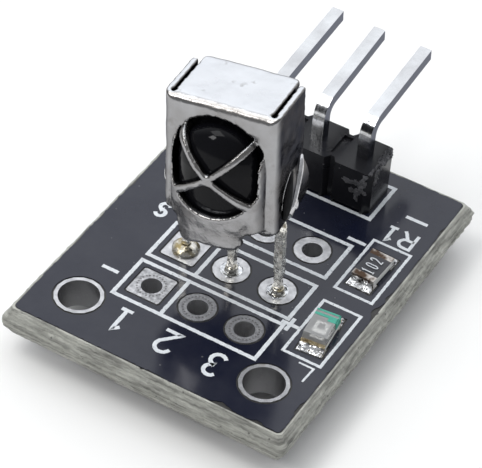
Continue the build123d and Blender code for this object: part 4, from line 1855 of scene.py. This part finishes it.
@dataclass(frozen=True)
class Chips:
    """The chip resistor and the chip lamp with their solder."""

    finishes: Finishes
    resistor: ChipPlace = ChipPlace(5.66, 9.14, -2.0)
    lamp: ChipPlace = ChipPlace(5.64, 4.14, 6.0)
    chip_edge: float = 0.02
    coat_top: float = 2.14
    figure_height: float = 0.62
    figure_width: float = 0.42
    figure_line: float = 0.06
    figure_ink: float = 0.008
    figure_wobble: float = 0.004
    figure_narrow: float = 0.48
    lamp_base_top: float = 1.91
    lens_top: float = 2.36
    lens_half: Point = (0.57, 0.85)
    band_skin: float = 0.012
    band_overhang: float = 0.02
    band_side: float = 0.05
    reflector: tuple[Triple, Triple] = ((-0.34, -0.42, 0.002), (0.34, 0.34, 0.03))

    def resistor_figures(self) -> None:
        """The white value printed along the resistor."""
        work = bmesh.new()
        figures = (Glyph.ONE, Glyph.ZERO, Glyph.TWO)
        start = -self.figure_width * len(figures) / 2
        for index, figure in enumerate(figures):
            corner = (start + index * self.figure_width, -self.figure_height / 2)
            for stroke in figure.strokes(corner, self.figure_height, self.figure_line, False,
                                         narrow=self.figure_narrow):
                stroke.build(work, 0.0, self.figure_ink, self.figure_wobble)
        bmesh.ops.transform(work, matrix=self.resistor.matrix(self.coat_top, 90.0), verts=work.verts)
        piece = new_piece("resistor_figures", mesh_from("resistor_figures", work))
        self.finishes.on(piece, "white_print")
        log.info("resistor_figures: %d figures", len(figures))

    def lamp_band(self) -> bmesh.types.BMesh:
        """The green band over the lens's rear end: stripes on its top and one side.

        Returns:
            The band in the lamp's own frame, over its base.
        """
        half_x, half_y = self.lens_half
        skin = self.band_skin
        rise = self.lens_top - self.lamp_base_top
        # left edge of each stripe, then its front and back counted from the lens's rear face
        stripes = ((-half_x, -0.1, 0.01), (-half_x, -0.4, -0.24), (0.16, -0.6, -0.4))
        band = bmesh.new()
        for left, front, back in stripes:
            add_block(band, (left, half_y + front, rise - skin),
                      (half_x + self.band_overhang, half_y + back, rise + skin))
        add_block(band, (half_x - skin, half_y - 0.56, 0.02),
                  (half_x + self.band_side, half_y + 0.01, rise + skin))
        return band

    def lamp_marks(self) -> None:
        """The green band and the reflector under the die."""
        reflector = bmesh.new()
        add_block(reflector, *self.reflector)
        place = self.lamp.matrix(self.lamp_base_top)
        for name, work, finish, slot in (("lamp_band", self.lamp_band(), "green_band", "lamp_resin"),
                                         ("lamp_reflector", reflector, "lamp_substrate", "lamp_laminate")):
            bmesh.ops.transform(work, matrix=place, verts=work.verts)
            self.finishes.on(new_piece(name, mesh_from(name, work)), finish)
        log.info("lamp_band and lamp_reflector: placed on the lamp")

    def build(self) -> None:
        """Dresses both chips."""
        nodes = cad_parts
        dress = {
            "resistor_core": "white_alumina", "resistor_coat": "resistor_glaze",
            "resistor_caps": "chip_cap_tin", "lamp_base": "lamp_substrate", "lamp_lens": "lamp_resin",
            "lamp_chip": "lamp_die", "lamp_caps": "cap_gilding",
        }
        for name, finish in dress.items():
            self.finishes.on(nodes[name], finish)
            self.finishes.soften(nodes[name], self.chip_edge)
        for name in ("resistor_solder", "lamp_solder"):
            WornCopy(name, "solder", "patchy_solder", Unevenness.FLOWED, voxel=0.03, per_mm=2.6,
                     depth=0.09).build(self.finishes)
        self.resistor_figures()
        self.lamp_marks()
        log.info("chips: %d nodes dressed", len(dress))


# Studio


@dataclass(frozen=True)
class SoftLamp:
    """One square lamp that is turned to the middle of the module.

    Its sizes are in millimetres and its power in watts.
    """

    name: str
    towards: Triple
    size: float
    power: float
    distance: float = 260.0
    middle: Triple = (0.0, 7.0, 4.0)

    def build(self) -> None:
        """Hangs the lamp."""
        data = bpy.data.lights.new(self.name, "AREA")
        data.shape = "SQUARE"
        data.size = mm(self.size)
        data.energy = self.power
        towards = Vector(self.towards)
        holder = bpy.data.objects.new(self.name, data)
        holder.location = mm(*self.middle) + towards.normalized() * mm(self.distance)
        holder.rotation_euler = towards.to_track_quat("Z", "Y").to_euler()
        bpy.context.scene.collection.objects.link(holder)


@dataclass(frozen=True)
class Studio:
    """Floor, soft lights, pale surroundings and the camera."""

    eye: Triple = (38.401, -67.249, 81.470)
    forward: Triple = (-0.33734, 0.64510, -0.68560)
    up: Triple = (-0.38787, 0.56835, 0.72563)
    lens: float = 180.28
    sensor: float = 36.0
    floor_colour: Colour = (0.93, 0.92, 0.9)
    floor_gap: float = 0.01
    sky_colour: Colour = (0.94, 0.965, 1.0)
    sky_towards: Triple = (-0.35, 0.65, 0.67)
    sky_from: float = 0.25
    sky_full: float = 0.85
    sky_bright: float = 1.5
    sky_dim: float = 0.38
    lamps: tuple[SoftLamp, ...] = (
        SoftLamp("window_lamp", (-0.33, -0.26, 0.91), 110.0, 0.15),
        SoftLamp("front_lamp", (-0.38, -0.62, 0.68), 60.0, 0.14),
    )

    def camera(self) -> None:
        """Stands the camera where the photograph was taken from."""
        data = bpy.data.cameras.new("viewpoint")
        data.lens = self.lens
        data.sensor_width = self.sensor
        data.sensor_fit = "HORIZONTAL"
        data.clip_start = 0.002
        data.clip_end = 20.0
        holder = bpy.data.objects.new("viewpoint", data)
        back = -Vector(self.forward).normalized()
        right = Vector(self.up).cross(back).normalized()
        upright = back.cross(right)
        turn = Matrix((right, upright, back)).transposed().to_4x4()
        holder.matrix_world = Matrix.Translation(mm(*self.eye)) @ turn
        bpy.context.scene.collection.objects.link(holder)
        bpy.context.scene.camera = holder

    def floor(self) -> None:
        """A wide pale floor that keeps the shadow."""
        height = cad_box[0][2] - mm(self.floor_gap)
        work = bmesh.new()
        bmesh.ops.create_grid(work, x_segments=1, y_segments=1, size=3.0)
        bmesh.ops.translate(work, vec=(0, 0, height), verts=work.verts)
        floor = bpy.data.objects.new("floor", mesh_from("floor", work))
        bpy.context.scene.collection.objects.link(floor)
        board = MaterialBoard("pale_floor")
        board.feed("Base Color", self.floor_colour)
        board.feed("Roughness", 0.9)
        board.feed("Specular IOR Level", 0.1)
        floor.data.materials.append(board.material)

    def surroundings(self) -> None:
        """A room with one broad bright side behind the module and a dim front."""
        world = bpy.data.worlds.new("pale_room")
        world.use_nodes = True
        bpy.context.scene.world = world
        board = NodeBoard(world.node_tree)
        background = next(node for node in board.tree.nodes if node.type == "BACKGROUND")
        facing = board.facing(board.coordinates("Generated"), Vector(self.sky_towards).normalized())
        spread = board.between(facing, self.sky_from, self.sky_full, self.sky_dim, self.sky_bright)
        spread.node.interpolation_type = "SMOOTHSTEP"
        background.inputs["Color"].default_value = (*self.sky_colour, 1.0)
        board.tree.links.new(spread, background.inputs["Strength"])

    def build(self) -> None:
        """Sets the whole studio up."""
        bpy.context.scene.view_settings.view_transform = "Standard"
        self.camera()
        self.floor()
        self.surroundings()
        for lamp in self.lamps:
            lamp.build()
        log.info("studio: camera, floor, surroundings and %d lamps", len(self.lamps))


def main() -> None:
    """Builds the studio and every sub-assembly in order."""
    logging.basicConfig(level=logging.INFO, format="%(message)s")
    Studio().build()
    finishes = Finishes()
    chips = Chips(finishes)
    Board(finishes, (chips.resistor, chips.lamp)).build()
    Header(finishes).build()
    Receiver(finishes).build()
    chips.build()


if __name__ == "__main__":
    main()
